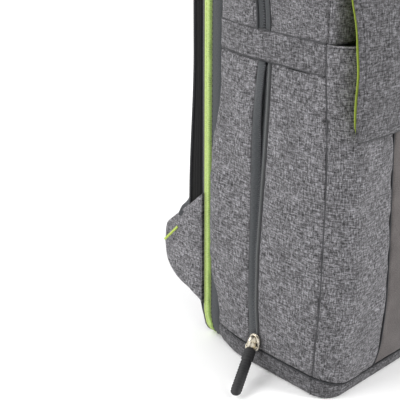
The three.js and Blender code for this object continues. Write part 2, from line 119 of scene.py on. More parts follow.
BACKWARD = Vector((0, 1, 0))
FORWARD = Vector((0, -1, 0))
UPWARD = Vector((0, 0, 1))


def clamp(value, least=0.0, most=1.0):
    return min(max(value, least), most)


def smooth(t):
    """A soft step from 0 to 1."""
    t = clamp(t)
    return t * t * (3 - 2 * t)


def circle(share):
    """The height of a quarter round at a share of the way up to its flat top."""
    return math.sqrt(max(1 - (1 - share) ** 2, 0))


def lean(y):
    """How far the side has come in at a distance back."""
    return LEAN_INSET * clamp((y - LEAN_START) / (LEAN_END - LEAN_START)) ** 1.5


def tuck_forward(z):
    """How far the rear zip swings forward where it meets the floor."""
    return -0.0072 * max((0.022 - z) / 0.022, 0.0) ** 2


def side_tuck(y, z, start=0.030, reach=0.022):
    """The side's share of that swing, which grows towards the zip."""
    return tuck_forward(z) * smooth((y - start) / reach)


# ---- Camera, light and floor ----

CAMERA = {"place": (-0.6079, -0.4193, 0.4074), "heading": 43.5, "down": 23.3, "lens": 87.75}
LAMPS = (
    ("key", (1.1, -2.1, 1.6), (0, 0, 0.18), 0.8, 50),
    ("fill", (-2.1, 0.9, 1.5), (0, 0, 0.15), 1.5, 39),
    ("back", (-0.2, 1.8, 1.6), (0, 0, 0.2), 1.5, 18),
)
SKY_STRENGTH = 0.76
FLOOR_REACH = 6.0
FLOOR_WHITE = 0.975


def linked(name, data):
    made = bpy.data.objects.new(name, data)
    bpy.context.scene.collection.objects.link(made)
    return made


def set_camera():
    data = bpy.data.cameras.new("camera")
    data.lens = CAMERA["lens"]
    data.sensor_width = 36
    data.clip_start = 0.01
    data.clip_end = 50
    camera = linked("camera", data)
    camera.location = CAMERA["place"]
    camera.rotation_euler = (math.radians(90 - CAMERA["down"]), 0, -math.radians(CAMERA["heading"]))
    bpy.context.scene.camera = camera


def set_lights():
    for name, place_at, target, size, watts in LAMPS:
        data = bpy.data.lights.new(name, "AREA")
        data.shape = "SQUARE"
        data.size = size
        data.energy = watts
        lamp = linked(name, data)
        lamp.location = place_at
        lamp.rotation_mode = "QUATERNION"
        lamp.rotation_quaternion = (Vector(target) - Vector(place_at)).to_track_quat("-Z", "Y")
    world = bpy.data.worlds.new("studio")
    world.use_nodes = True
    background = world.node_tree.nodes["Background"]
    background.inputs["Color"].default_value = (1, 1, 1, 1)
    background.inputs["Strength"].default_value = SKY_STRENGTH
    bpy.context.scene.world = world
    bpy.context.scene.view_settings.view_transform = "Standard"


def set_floor():
    mesh = bpy.data.meshes.new("floor")
    corners = [(x * FLOOR_REACH, y * FLOOR_REACH, 0) for x, y in ((-1, -1), (1, -1), (1, 1), (-1, 1))]
    mesh.from_pydata(corners, [], [(0, 1, 2, 3)])
    floor = linked("floor", mesh)
    paint = Recipe("floor_paint", roughness=0.7)
    paint.set("Base Color", (*grey(FLOOR_WHITE), 1))
    mesh.materials.append(paint.material)


# ---- Materials ----

SHADER_SOCKETS = {
    "roughness": "Roughness",
    "specular": "Specular IOR Level",
    "sheen": "Sheen Weight",
    "metallic": "Metallic",
}


class Recipe:
    """A material with a Principled shader, and short ways to add and join its nodes."""

    def __init__(self, name, **values):
        self.material = bpy.data.materials.new(name)
        self.material.use_nodes = True
        self.tree = self.material.node_tree
        self.shader = self.tree.nodes["Principled BSDF"]
        for key, value in values.items():
            self.set(SHADER_SOCKETS[key], value)

    def set(self, socket, value):
        self.shader.inputs[socket].default_value = value

    def join(self, output, socket):
        self.tree.links.new(output, self.shader.inputs[socket])

    def feed(self, socket, value):
        """Gives an input a value, or joins another node's output to it."""
        if isinstance(value, bpy.types.NodeSocket):
            self.tree.links.new(value, socket)
        else:
            socket.default_value = value

    def node(self, kind, inputs, **settings):
        made = self.tree.nodes.new(kind)
        for key, value in settings.items():
            setattr(made, key, value)
        for key, value in inputs.items():
            self.feed(made.inputs[key], value)
        return made

    def math(self, operation, a, b=0.0, c=0.0):
        return self.node("ShaderNodeMath", {0: a, 1: b, 2: c}, operation=operation).outputs[0]

    def blend(self, a, b, share):
        """A share of a, and the rest of b."""
        return self.math("ADD", self.math("MULTIPLY", a, share), self.math("MULTIPLY", b, 1 - share))

    def coordinates(self, kind="UV"):
        return self.node("ShaderNodeTexCoord", {}).outputs[kind]

    def scaled(self, vector, scale):
        return self.node("ShaderNodeMapping", {"Vector": vector, "Scale": scale}).outputs["Vector"]

    def noise(self, vector, scale, detail=2.0, roughness=0.5):
        place_at = self.scaled(vector, scale)
        values = {"Vector": place_at, "Scale": 1.0, "Detail": detail, "Roughness": roughness}
        return self.node("ShaderNodeTexNoise", values).outputs["Fac"]

    def ramp(self, factor, stops):
        made = self.node("ShaderNodeValToRGB", {"Fac": factor})
        elements = made.color_ramp.elements
        while len(elements) < len(stops):
            elements.new(0.5)
        for element, (position, color) in zip(elements, stops):
            element.position = position
            element.color = (*color, 1)
        return made.outputs["Color"]

    def paint(self, factor, *stops):
        self.join(self.ramp(factor, stops), "Base Color")

    def mix(self, factor, a, b, blend="MIX"):
        made = self.node("ShaderNodeMix", {}, data_type="RGBA", blend_type=blend)
        for index, value in ((0, factor), (6, a), (7, b)):
            self.feed(made.inputs[index], value)
        return made.outputs[2]

    def bump(self, height, distance, strength=1.0):
        values = {"Height": height, "Distance": distance, "Strength": strength}
        self.join(self.node("ShaderNodeBump", values).outputs["Normal"], "Normal")

    def waves(self, uv, axes, pitch):
        """A sine along each of the weave's axes, from -1 to 1."""
        parts = self.node("ShaderNodeSeparateXYZ", {"Vector": uv})
        turn = 2 * math.pi / pitch
        return [self.math("SINE", self.math("MULTIPLY", parts.outputs[axis], turn)) for axis in axes]

    def weave(self, uv, pitch):
        """Over and under threads of a plain weave, as a height from -1 to 1, at a pitch."""
        return self.math("MULTIPLY", *self.waves(uv, "XY", pitch))


def grey(value, warm=0.0):
    return (value * (1 + warm), value, value * (1 - warm))


def lit(color, factor, more=0.0):
    return tuple(c * factor + more for c in color)


HEATHER_PITCH = 0.9 * MM
HEATHER_TONES = ((0.400, 0.022, -0.01), (0.465, 0.105, 0.0), (0.525, 0.205, 0.0), (0.600, 0.430, -0.01))
HEATHER_TINT = (1.0, 0.975, 1.03, 1)


def heather_fabric(name, level):
    """Melange weave: light and dark yarns, drawn out along both thread directions."""
    recipe = Recipe(name, roughness=0.92, specular=0.25, sheen=0.08)
    uv = recipe.coordinates()
    weft = recipe.noise(uv, (370, 1150, 1), roughness=0.6)
    warp = recipe.noise(uv, (1150, 410, 1), roughness=0.6)
    over = recipe.math("GREATER_THAN", recipe.weave(uv, HEATHER_PITCH), 0.0)
    yarn = recipe.mix(over, weft, warp)
    long_weft = recipe.noise(uv, (165, 820, 1))
    long_warp = recipe.noise(uv, (820, 190, 1))
    slub = recipe.math("MULTIPLY", recipe.math("ADD", long_weft, long_warp), 0.5)
    tones = [(at, grey(value * level, warm)) for at, value, warm in HEATHER_TONES]
    color = recipe.ramp(recipe.blend(yarn, slub, 0.5), tones)
    cloud = recipe.noise(uv, (55, 85, 1), detail=3)
    shade = recipe.ramp(cloud, [(0.3, grey(0.78)), (0.7, grey(1.16))])
    tone = recipe.mix(1.0, color, shade, "MULTIPLY")
    recipe.join(recipe.mix(1.0, tone, HEATHER_TINT, "MULTIPLY"), "Base Color")
    height = recipe.math("ADD", recipe.math("MULTIPLY", yarn, 1.5), recipe.weave(uv, HEATHER_PITCH))
    recipe.bump(height, 0.10 * MM, 0.8)
    return recipe.material


def plain_fabric(name, color, pitch, roughness=0.85, spread=0.10, sheen=0.1):
    """A fine, even weave with slight unevenness in its colour."""
    recipe = Recipe(name, roughness=roughness, specular=0.3, sheen=sheen)
    uv = recipe.coordinates()
    yarn = recipe.noise(uv, (900, 2200, 1))
    cloud = recipe.noise(uv, (60, 60, 1), detail=3)
    dark, light = lit(color, 1 - 1.6 * spread), lit(color, 1 + 2.2 * spread)
    recipe.paint(recipe.blend(yarn, cloud, 0.65), (0.36, dark), (0.64, light))
    recipe.bump(recipe.weave(uv, pitch), 0.06 * MM, 0.7)
    return recipe.material


def ribbed_tape(name, color, pitch, roughness=0.7, spread=0.12, relief=0.12):
    """Woven tape or webbing, with ribs across its length (U runs along it)."""
    recipe = Recipe(name, roughness=roughness, specular=0.35, sheen=0.08)
    uv = recipe.coordinates()
    rib = recipe.waves(uv, "X", pitch)[0]
    ridge = recipe.math("MULTIPLY_ADD", rib, 0.10, recipe.noise(uv, (1500, 900, 1)))
    dark, light = lit(color, 1 - 1.8 * spread), lit(color, 1 + 1.8 * spread)
    recipe.paint(ridge, (0.34, dark), (0.66, light))
    recipe.bump(rib, relief * MM, 0.8)
    return recipe.material


def spacer_mesh(name):
    """Black knitted mesh with small round holes set in staggered rows."""
    recipe = Recipe(name, roughness=0.9, specular=0.2)
    uv = recipe.coordinates()
    values = {"Vector": recipe.scaled(uv, (420, 420, 1)), "Scale": 1.0, "Randomness": 0.12}
    cells = recipe.node("ShaderNodeTexVoronoi", values, feature="F1").outputs["Distance"]
    thread = recipe.math("MULTIPLY_ADD", recipe.noise(uv, (900, 900, 1)), 0.25, cells)
    recipe.paint(thread, (0.35, grey(0.0018)), (0.72, grey(0.014)))
    recipe.bump(cells, 0.35 * MM, 1.0)
    return recipe.material


def nickel_plate(name):
    """Plated metal whose tone and polish vary slightly from spot to spot."""
    recipe = Recipe(name, metallic=1.0)
    spots = recipe.noise(recipe.coordinates("Object"), (260, 260, 260), detail=3)
    recipe.paint(spots, (0.35, (0.50, 0.45, 0.36)), (0.65, (0.74, 0.69, 0.58)))
    recipe.join(recipe.math("MULTIPLY_ADD", spots, 0.25, 0.12), "Roughness")
    return recipe.material


def moulded(name, color, roughness, grain=900, relief=0.03):
    """Rubber or plastic with a fine moulded grain and slightly worn high spots."""
    recipe = Recipe(name)
    place_at = recipe.coordinates("Object")
    fine = recipe.noise(place_at, (grain, grain, grain))
    wear = recipe.noise(place_at, (120, 120, 120), detail=4)
    recipe.paint(wear, (0.38, color), (0.72, lit(color, 1.7, 0.004)))
    recipe.join(recipe.math("MULTIPLY_ADD", wear, 0.2, roughness - 0.1), "Roughness")
    recipe.bump(fine, relief * MM, 0.6)
    return recipe.material


def sewing_thread(name, color):
    """Twisted sewing thread."""
    recipe = Recipe(name, roughness=0.6)
    twist = recipe.noise(recipe.coordinates("Object"), (1800, 1800, 1800), detail=1)
    recipe.paint(twist, (0.35, color), (0.65, lit(color, 1.35)))
    recipe.bump(twist, 0.05 * MM, 0.5)
    return recipe.material


# Levels of one heather fabric. Apart from plain heather, each is a lit or shaded copy: painted highlight,
# painted shade or painted light for where its pieces sit in the light.
HEATHER_LIT_AND_SHADED_LEVELS = {
    "heather": 0.73,
    # A pale copy: painted highlight for the pocket's top hem.
    "heather_pale": 1.5,
    # The darkest copy: painted shade for the base pan and the upper front's seam cord.
    "heather_base": 0.50,
    # A darker copy: painted shade for the flap cover.
    "heather_painted_flap_shade": 0.545,
    # A darker copy: painted shade for the side band.
    "heather_painted_band_shade": 0.62,
    # A lighter copy: painted light for the strap wings.
    "heather_painted_wing_light": 0.86,
}
FINISH = {name: heather_fabric(name, level) for name, level in HEATHER_LIT_AND_SHADED_LEVELS.items()}
FINISH |= {
    "taupe": plain_fabric("taupe", (0.093, 0.083, 0.081), 0.6 * MM, spread=0.19),
    "charcoal": ribbed_tape("charcoal", (0.048, 0.052, 0.056), 0.7 * MM, spread=0.14),
    "pale_tape": ribbed_tape("pale_tape", (0.085, 0.089, 0.090), 0.7 * MM),
    "dark_cord": ribbed_tape("dark_cord", (0.018, 0.019, 0.022), 0.8 * MM, roughness=0.6),
    "lime": ribbed_tape("lime", (0.48, 0.60, 0.215), 0.8 * MM, spread=0.08),
    "lime_coil": moulded("lime_coil", (0.25, 0.37, 0.09), 0.45, relief=0.01),
    "lime_cloth": plain_fabric("lime_cloth", (0.28, 0.36, 0.045), 0.6 * MM),
    "mesh": spacer_mesh("black_spacer_mesh"),
    "webbing": ribbed_tape("webbing", (0.052, 0.055, 0.060), 1.3 * MM, relief=0.2),
    "black_webbing": ribbed_tape("black_webbing", (0.014, 0.014, 0.016), 1.3 * MM, relief=0.2),
    "lining": plain_fabric("lining", (0.085, 0.092, 0.098), 0.4 * MM, roughness=0.6, sheen=0.2),
    "coil": moulded("coil", (0.035, 0.037, 0.042), 0.4, relief=0.01),
    "nickel": nickel_plate("nickel"),
    "rubber": moulded("rubber", (0.006, 0.006, 0.007), 0.6),
    "plastic": moulded("buckle_plastic", (0.013, 0.013, 0.015), 0.38),
    "board": moulded("board_sheet", (0.30, 0.29, 0.27), 0.6, grain=300),
    "thread": sewing_thread("thread_grey", (0.10, 0.10, 0.105)),
    "lime_thread": sewing_thread("thread_lime", (0.36, 0.46, 0.08)),
    "dark_thread": sewing_thread("thread_dark", (0.03, 0.03, 0.033)),
}


# ---- Mesh tools ----


def loop_points(mesh):
    """The point that each face corner uses."""
    index = np.zeros(len(mesh.loops), np.int32)
    mesh.loops.foreach_get("vertex_index", index)
    return index


def set_weave(mesh, corners):
    """Lays the weave out, from one flat place for each face corner."""
    mesh.uv_layers[0].data.foreach_set("uv", corners.astype(np.float32).ravel())


def turn_outwards(mesh):
    work = bmesh.new()
    work.from_mesh(mesh)
    bmesh.ops.recalc_face_normals(work, faces=work.faces)
    work.to_mesh(mesh)
    work.free()


def build(name, points, faces, uvs, finishes, wrap=None, closed=True):
    """A smooth mesh object. uvs has one row for each point, and wrap is U's full turn."""
    mesh = bpy.data.meshes.new(name)
    mesh.from_pydata([tuple(p) for p in points], [], [tuple(f) for f in faces])
    for finish in finishes:
        mesh.materials.append(FINISH[finish])
    mesh.uv_layers.new(name="weave")
    corners = np.array(uvs, float)[loop_points(mesh)]
    if wrap:
        for polygon in mesh.polygons:
            span = slice(polygon.loop_start, polygon.loop_start + polygon.loop_total)
            u = corners[span, 0]
            if u.max() - u.min() > wrap / 2:
                corners[span, 0] = np.where(u < wrap / 2, u + wrap, u)
    set_weave(mesh, corners)
    if closed:
        turn_outwards(mesh)
    mesh.shade_smooth()
    return linked(name, mesh)


def grid_faces(rows, columns, wrap_rows=False, wrap_columns=False, first=0):
    faces = []
    for i in range(rows if wrap_rows else rows - 1):
        for j in range(columns if wrap_columns else columns - 1):
            a = i * columns + j
            b = i * columns + (j + 1) % columns
            c = ((i + 1) % rows) * columns + (j + 1) % columns
            d = ((i + 1) % rows) * columns + j
            faces.append((first + a, first + b, first + c, first + d))
    return faces


def caps(rows, columns):
    """The two end faces of a grid whose columns close round."""
    last = (rows - 1) * columns
    return [tuple(range(columns))[::-1], tuple(range(last, last + columns))]


def border_of(rows, columns):
    """The points round a grid's edge, in order."""
    border = list(range(columns)) + [i * columns + columns - 1 for i in range(1, rows)]
    border += [(rows - 1) * columns + j for j in range(columns - 2, -1, -1)]
    return border + [i * columns for i in range(rows - 2, 0, -1)]


def slab_faces(rows, columns):
    """Faces of a closed slab: a grid, a second one behind it, and a wall round both."""
    back = rows * columns
    faces = grid_faces(rows, columns)
    faces += [f[::-1] for f in grid_faces(rows, columns, first=back)]
    border = border_of(rows, columns)
    return faces + [(a, b, b + back, a + back) for a, b in zip(border, border[1:] + border[:1])]


def place(piece, body, slot, *nodes):
    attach(piece, body)
    if nodes:
        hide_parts(*nodes)
    return piece


def both_sides(piece, body, slot, *stems):
    """Places a left piece and its mirror image, which stand for the nodes of those stems."""
    mesh = piece.data.copy()
    mesh.name = piece.name.replace("_left", "") + "_right"
    mesh.transform(Matrix.Diagonal((-1, 1, 1, 1)))
    mesh.flip_normals()
    right = linked(mesh.name, mesh)
    place(piece, body, slot, *[s + "_left" for s in stems])
    place(right, body, slot, *[s + "_right" for s in stems])
    return [piece, right]


def modified(piece, kind, **settings):
    """Adds a modifier with its settings, and applies it."""
    added = piece.modifiers.new(kind.lower(), kind)
    for key, value in settings.items():
        setattr(added, key, value)
    graph = bpy.context.evaluated_depsgraph_get()
    mesh = bpy.data.meshes.new_from_object(piece.evaluated_get(graph))
    piece.modifiers.clear()
    piece.data = mesh
    return piece


def refined(piece):
    modified(piece, "SUBSURF", levels=1)
    piece.data.shade_smooth()
    return piece


def coordinates(mesh):
    values = np.zeros(len(mesh.vertices) * 3, np.float32)
    mesh.vertices.foreach_get("co", values)
    return values.reshape(-1, 3).astype(float)


def move_to(mesh, points):
    mesh.vertices.foreach_set("co", points.astype(np.float32).ravel())
    mesh.update()


def normals(mesh):
    values = np.zeros(len(mesh.vertices) * 3, np.float32)
    mesh.vertex_normals.foreach_get("vector", values)
    return values.reshape(-1, 3).astype(float)


CLOTH = {
    "quality": 6,
    "mass": 0.15,
    "tension_stiffness": 30,
    "compression_stiffness": 30,
    "shear_stiffness": 12,
    "bending_stiffness": 0.6,
    "use_pressure": True,
}
CLOTH_FRAMES = 20


def inflate(piece, pinned, pressure, slack, cap):
    """Blows a piece of cloth up between its pinned points, and keeps what it becomes. No
    point moves further than cap."""
    rest = coordinates(piece.data)
    group = piece.vertex_groups.new(name="pinned")
    group.add([int(i) for i in pinned], 1.0, "REPLACE")
    cloth = piece.modifiers.new("cloth", "CLOTH")
    for key, value in CLOTH.items():
        setattr(cloth.settings, key, value)
    cloth.settings.vertex_group_mass = "pinned"
    cloth.settings.shrink_min = -slack
    cloth.settings.uniform_pressure_force = pressure
    cloth.settings.effector_weights.gravity = 0
    cloth.collision_settings.use_collision = False
    for number in range(1, CLOTH_FRAMES + 1):
        bpy.context.scene.frame_set(number)
    graph = bpy.context.evaluated_depsgraph_get()
    moved = coordinates(piece.evaluated_get(graph).data) - rest
    piece.modifiers.remove(cloth)
    piece.vertex_groups.remove(group)
    bpy.context.scene.frame_set(1)
    reach = np.linalg.norm(moved, axis=1, keepdims=True)
    moved *= np.minimum(1.0, cap / np.maximum(reach, 1e-9))
    move_to(piece.data, rest + moved)


def steps(length, pitch, fine=(0.0, 0.0011, 0.0026, 0.0048)):
    """Places along a length: close together at both ends, where the fabric turns in."""
    span = length - 2 * fine[-1]
    inner = max(int(span / pitch), 1)
    places = list(fine) + [fine[-1] + span * (i + 1) / inner for i in range(inner - 1)]
    return np.array(places + [length - f for f in reversed(fine)]) / length


class Panel:
    """A sewn panel over surface(u, v), which gives a point and its outward direction.

    width and height are its flat size. crown and blown fill it out between its seams, and
    sewn finishes it: edges turned in, wrinkles, and thickness with lining inside."""

    def __init__(self, name, surface, width, height, finish="heather", pitch=0.0055):
        self.size = np.array([width, height])
        u_places, v_places = steps(width, pitch), steps(height, pitch)
        shares = [(u, v) for v in v_places for u in u_places]
        points, outward = zip(*[surface(u, v) for u, v in shares])
        self.flat = np.array(shares) * self.size
        self.outward = np.array([tuple(n) for n in outward])
        faces = grid_faces(len(v_places), len(u_places))
        sample = faces[len(faces) // 2]
        a, b, c, _ = (np.array(points[i]) for i in sample)
        if np.cross(b - a, c - a) @ self.outward[sample[0]] < 0:
            faces = [f[::-1] for f in faces]
        self.piece = build(name, points, faces, self.flat, (finish, "lining"), closed=False)

    def crown(self, rise, power=0.55):
        """Pushes the middle out, and leaves the edges."""
        u, v = (self.flat / self.size).T
        share = (4 * u * (1 - u)) ** power * (4 * v * (1 - v)) ** power
        points = coordinates(self.piece.data) + self.outward * (share * rise)[:, None]
        move_to(self.piece.data, points)
        return self

    def blown(self, pressure, slack, cap):
        edge = (self.flat <= 1e-6) | (self.flat >= self.size - 1e-6)
        inflate(self.piece, np.flatnonzero(edge.any(axis=1)), pressure, slack, cap)
        return self

    def sewn(self, thick=FABRIC_THICK, tuck=0.0016, turn=0.0032, pucker=0.35, waves=0.5, seed=0.0):
        """Subdivides, turns the edges in, wrinkles the cloth and gives it thickness."""
        mesh = modified(self.piece, "SUBSURF", levels=1, boundary_smooth="PRESERVE_CORNERS").data
        corners = np.zeros(len(mesh.loops) * 2, np.float32)
        mesh.uv_layers[0].data.foreach_get("uv", corners)
        flat = np.zeros((len(mesh.vertices), 2))
        flat[loop_points(mesh)] = corners.reshape(-1, 2)
        gaps = np.concatenate([flat, self.size - flat], axis=1)
        nearest = gaps.min(axis=1)
        share = np.clip(1 - nearest / turn, 0, 1)
        depth = tuck * (1 - np.sqrt(np.clip(1 - share**2, 0, 1)))
        wrinkle = np.zeros(len(flat))
        for i, (s, t) in enumerate(flat):
            soft = noise.noise(Vector((s * 26, t * 26, seed))) * waves
            soft += noise.noise(Vector((s * 70, t * 70, seed + 9))) * waves * 0.35
            along = t if min(gaps[i][0], gaps[i][2]) < min(gaps[i][1], gaps[i][3]) else s
            gather = noise.noise(Vector((along * 130, seed + 4, 0))) * pucker
            fade = math.exp(-nearest[i] / 0.009)
            wrinkle[i] = (soft * (1 - fade) + gather * fade * min(nearest[i] / 0.002, 1)) * MM
        move_to(mesh, coordinates(mesh) + normals(mesh) * (wrinkle - depth)[:, None])
        modified(self.piece, "SOLIDIFY", thickness=thick, offset=-1, use_rim=True, material_offset=1)
        self.piece.data.shade_smooth()
        return self.piece


def tube(points, radius, sides=8, closed=False, flat=1.0, up=UPWARD):
    """Points, faces and weave of a round tube. radius may be one for each point."""
    count = len(points)
    points = [Vector(p) for p in points]
    radii = radius if hasattr(radius, "__len__") else [radius] * count
    made, uvs, length = [], [], 0.0
    side = None
    for i, p in enumerate(points):
        before = points[(i - 1) % count] if closed or i else p
        after = points[(i + 1) % count] if closed or i < count - 1 else p
        along = (after - before).normalized()
        if side is None:
            guide = up if abs(along.dot(up)) < 0.9 else RIGHTWARD
            side = along.cross(guide).normalized()
        else:
            side = (side - along * side.dot(along)).normalized()
            length += (p - points[i - 1]).length
        other = along.cross(side)
        for angle in turns(sides):
            out = side * math.cos(angle) + other * math.sin(angle) * flat
            made.append(p + out * radii[i])
            uvs.append((length, radii[i] * angle))
    faces = grid_faces(count, sides, wrap_rows=closed, wrap_columns=True)
    return made, faces + ([] if closed else caps(count, sides)), uvs


def turns(count):
    """The angles of a full turn in equal steps."""
    return [2 * math.pi * k / count for k in range(count)]


def tube_piece(name, points, radius, finish, sides=8, closed=False):
    return build(name, *tube(points, radius, sides, closed), (finish,))


def piping(name, points, radius, finish, body, slot, *nodes, sides=8):
    return place(tube_piece(name, points, radius, finish, sides), body, slot, *nodes)


def both_pipings(name, points, radius, finish, slot, *stems, sides=8):
    """Piping on the shell's left side, and its mirror image."""
    return both_sides(tube_piece(name, points, radius, finish, sides), "shell", slot, *stems)


def joined(parts):
    """Points, faces and weaves of several parts as those of one."""
    points, faces, uvs = [], [], []
    for p, f, t in parts:
        base = len(points)
        points += list(p)
        faces += [tuple(i + base for i in face) for face in f]
        uvs += list(t)
    return points, faces, uvs


def loft(name, rings, runs, around, finish, closed=False):
    """A skin over rings of points. runs has each ring's place along the piece, and around
    each point's place round its ring. Closed, the last ring joins the first."""
    count = len(rings[0])
    faces = grid_faces(len(rings), count, wrap_rows=closed, wrap_columns=True)
    if not closed:
        faces += caps(len(rings), count)
    uvs = [(run, at) for run in runs[: len(rings)] for at in around[:count]]
    wrap = runs[-1] if closed else None
    return build(name, [p for ring in rings for p in ring], faces, uvs, (finish,), wrap=wrap)


def lengths_of(points, closed=False):
    """How far along a line each of its points is. Closed, the whole turn comes last."""
    points = np.array([tuple(p) for p in points])
    ends = np.roll(points, -1, axis=0) if closed else points[1:]
    starts = points if closed else points[:-1]
    run = np.cumsum(np.linalg.norm(ends - starts, axis=1))
    return np.concatenate([[0], run])


class Route:
    """A line with an outward direction at each point, to be walked by distance."""

    def __init__(self, points, outward):
        self.points = [Vector(p) for p in points]
        self.outward = outward
        self.run = lengths_of(points)
        self.length = self.run[-1]

    def at(self, distance):
        i = int(clamp(int(np.searchsorted(self.run, distance)) - 1, 0, len(self.points) - 2))
        share = (distance - self.run[i]) / max(self.run[i + 1] - self.run[i], 1e-9)
        return self.points[i].lerp(self.points[i + 1], share), self.outward[i]


def stitches(name, points, outward, finish, radius=0.00028, length=0.0026, gap=0.0012):
    """A row of separate stitches that follows points, lying just on the cloth."""
    route = Route(points, outward)
    sizes = [radius * s for s in (0.5, 0.95, 1.0, 0.95, 0.5)]
    parts = []
    distance = gap
    while distance + length < route.length:
        a, n = route.at(distance)
        b, _ = route.at(distance + length)
        mid = (a + b) / 2 + n * radius * 0.9
        thread = [a - n * radius * 0.6, a.lerp(mid, 0.55) + n * radius * 0.4, mid]
        thread += [b.lerp(mid, 0.55) + n * radius * 0.4, b - n * radius * 0.6]
        parts.append(tube(thread, sizes, sides=5))
        distance += length + gap
    return build(name, *joined(parts), (finish,))


def teeth(name, centres, outward, finish, pitch, reach, size=0.00042, across=BACKWARD):
    """Coil turns along a line of centres, each a small bar across it."""
    route = Route(centres, outward)
    sizes = [size * s for s in (0.6, 1, 1.05, 1, 0.6)]
    parts = []
    distance = pitch / 2
    side = -1
    while distance < route.length:
        p, n = route.at(distance)
        p = p + across * (reach * 0.28 * side)
        bar = [p - across * reach - n * size, p - across * reach * 0.75, p]
        bar += [p + across * reach * 0.75, p + across * reach - n * size]
        parts.append(tube(bar, sizes, sides=5))
        distance += pitch
        side = -side
    return build(name, *joined(parts), (finish,))


# ---- Lines round the bag ----


def round_line(half, bottom, top, top_radius, low_radius, counts=(12, 10, 66, 16, 36), arch=False):
    """The front view line, as rows of x, z and the outward direction. It starts at the
    bottom middle and goes up the left side. An arch leaves out the bottom."""
    rows = []
    flat_count, low_count, side_count, turn_count, top_count = counts

    def straight(a, b, n, count):
        for i in range(count):
            t = i / count
            rows.append((a[0] + (b[0] - a[0]) * t, a[1] + (b[1] - a[1]) * t, *n))

    def turn(cx, cz, radius, start, end, count):
        for i in range(count):
            angle = math.radians(start + (end - start) * i / count)
            n = (math.cos(angle), math.sin(angle))
            rows.append((cx + radius * n[0], cz + radius * n[1], *n))

    side_low = bottom if arch else bottom + low_radius
    if not arch:
        straight((0, bottom), (-half + low_radius, bottom), (0, -1), flat_count)
        turn(-half + low_radius, side_low, low_radius, 270, 180, low_count)
    straight((-half, side_low), (-half, top - top_radius), (-1, 0), side_count)
    turn(-half + top_radius, top - top_radius, top_radius, 180, 90, turn_count)
    straight((-half + top_radius, top), (half - top_radius, top), (0, 1), top_count)
    turn(half - top_radius, top - top_radius, top_radius, 90, 0, turn_count)
    straight((half, top - top_radius), (half, side_low), (1, 0), side_count)
    if arch:
        rows.append((half, bottom, 1, 0))
    else:
        turn(half - low_radius, side_low, low_radius, 0, -90, low_count)
        straight((half - low_radius, bottom), (0, bottom), (0, -1), flat_count)
    return np.array(rows)


RING = round_line(RING_HALF, RING_LOW, RING_TOP, RING_TOP_RADIUS, RING_LOW_RADIUS)
REAR_RING = round_line(RING_HALF, RING_LOW, RING_TOP, RING_TOP_RADIUS, REAR_LOW_RADIUS)
ARCH = round_line(HALF, BAND_HIGH + 0.0003, TOP_Z, TOP_RADIUS, 0, arch=True)


def edge_drop(z):
    """How far the rear panel's edge falls forward from its face."""
    return 0.0008 + 0.0052 * smooth((z - 0.11) / 0.12) + 0.0130 * smooth((0.055 - z) / 0.05)


def on_ring(row, y, out, swing=1.0):
    x, z, nx, nz = row
    return Vector((x + nx * out, y + swing * tuck_forward(z), z + nz * out))


def ring_rows(opened=False, rear=0.0):
    """Rows of the ring, or of a line part way to the rear panel's own edge, which has
    wider low corners. Opened, it leaves out the flat of the bottom."""
    rows = RING * (1 - rear) + REAR_RING * rear
    if not opened:
        return rows
    inner = np.abs(RING[:, 0]) < RING_HALF - RING_LOW_RADIUS - 0.0005
    flat_bottom = inner & (RING[:, 1] < RING_LOW + 0.0005)
    return rows[~flat_bottom]


def ring_strip(name, section, finish, opened=False, swing=None, rear=None):
    """A strip swept round the ring. section holds points of y and how far they stand out.
    swing is each point's share of the zip's swing at the floor, and rear its share of the
    way to the rear panel's edge."""
    swing = swing or [1.0] * len(section)
    rear = rear or [0.0] * len(section)
    lines = [ring_rows(opened, share) for share in rear]
    reach = COVER_Y - 0.0008 - GUSSET_Y[1]
    rings = []
    for rows in zip(*lines):
        ring = [on_ring(row, y, out, s) for row, (y, out), s in zip(rows, section, swing)]
        for point, share in zip(ring, rear):
            point.y += share * (reach - edge_drop(point.z))
        rings.append(ring)
    runs = lengths_of([on_ring(row, 0, 0) for row in ring_rows(opened)], closed=not opened)
    return loft(name, rings, runs, lengths_of(section, closed=True), finish, closed=not opened)


def rolled(y0, y1, out0, out1, thick, rise=0.0, edge=0.0005):
    """A strip's section from y0 to y1, with rounded edges and a raised middle."""
    mid = (y0 + y1) / 2
    out_mid = (out0 + out1) / 2 + rise
    return [
        (y0, out0 - edge),
        (y0 + edge, out0),
        ((y0 + mid) / 2, (out0 + out_mid) / 2 + rise * 0.35),
        (mid, out_mid),
        ((mid + y1) / 2, (out_mid + out1) / 2 + rise * 0.35),
        (y1 - edge, out1),
        (y1, out1 - edge),
        (y1, out1 - thick),
        (mid, out_mid - thick - rise),
        (y0, out0 - thick),
    ]


# ---- The lower body ----

FORWARD_STRAIGHT = SEAM_Y - (FRONT_Y + CORNER_RADIUS)
CORNER_LENGTH = CORNER_RADIUS * math.pi / 2
CORNER_AT = FORWARD_STRAIGHT + CORNER_LENGTH / 2


def plan(s):
    """The left half's plan line: s is 0 at the front corner seam, less than 0 back along
    the side, and more than 0 round the corner and over the front."""
    if s <= FORWARD_STRAIGHT:
        y = SEAM_Y - s
        slope = (lean(y + 1e-4) - lean(y - 1e-4)) / 2e-4
        return Vector((-HALF + lean(y), y, 0)), Vector((-1, slope, 0)).normalized()
    if s <= FORWARD_STRAIGHT + CORNER_LENGTH:
        angle = (s - FORWARD_STRAIGHT) / CORNER_RADIUS
        n = Vector((-math.cos(angle), -math.sin(angle), 0))
        centre = Vector((-HALF + CORNER_RADIUS, FRONT_Y + CORNER_RADIUS, 0))
        return centre + n * CORNER_RADIUS, n
    x = -HALF + CORNER_RADIUS + s - FORWARD_STRAIGHT - CORNER_LENGTH
    return Vector((x, FRONT_Y, 0)), Vector((0, -1, 0))


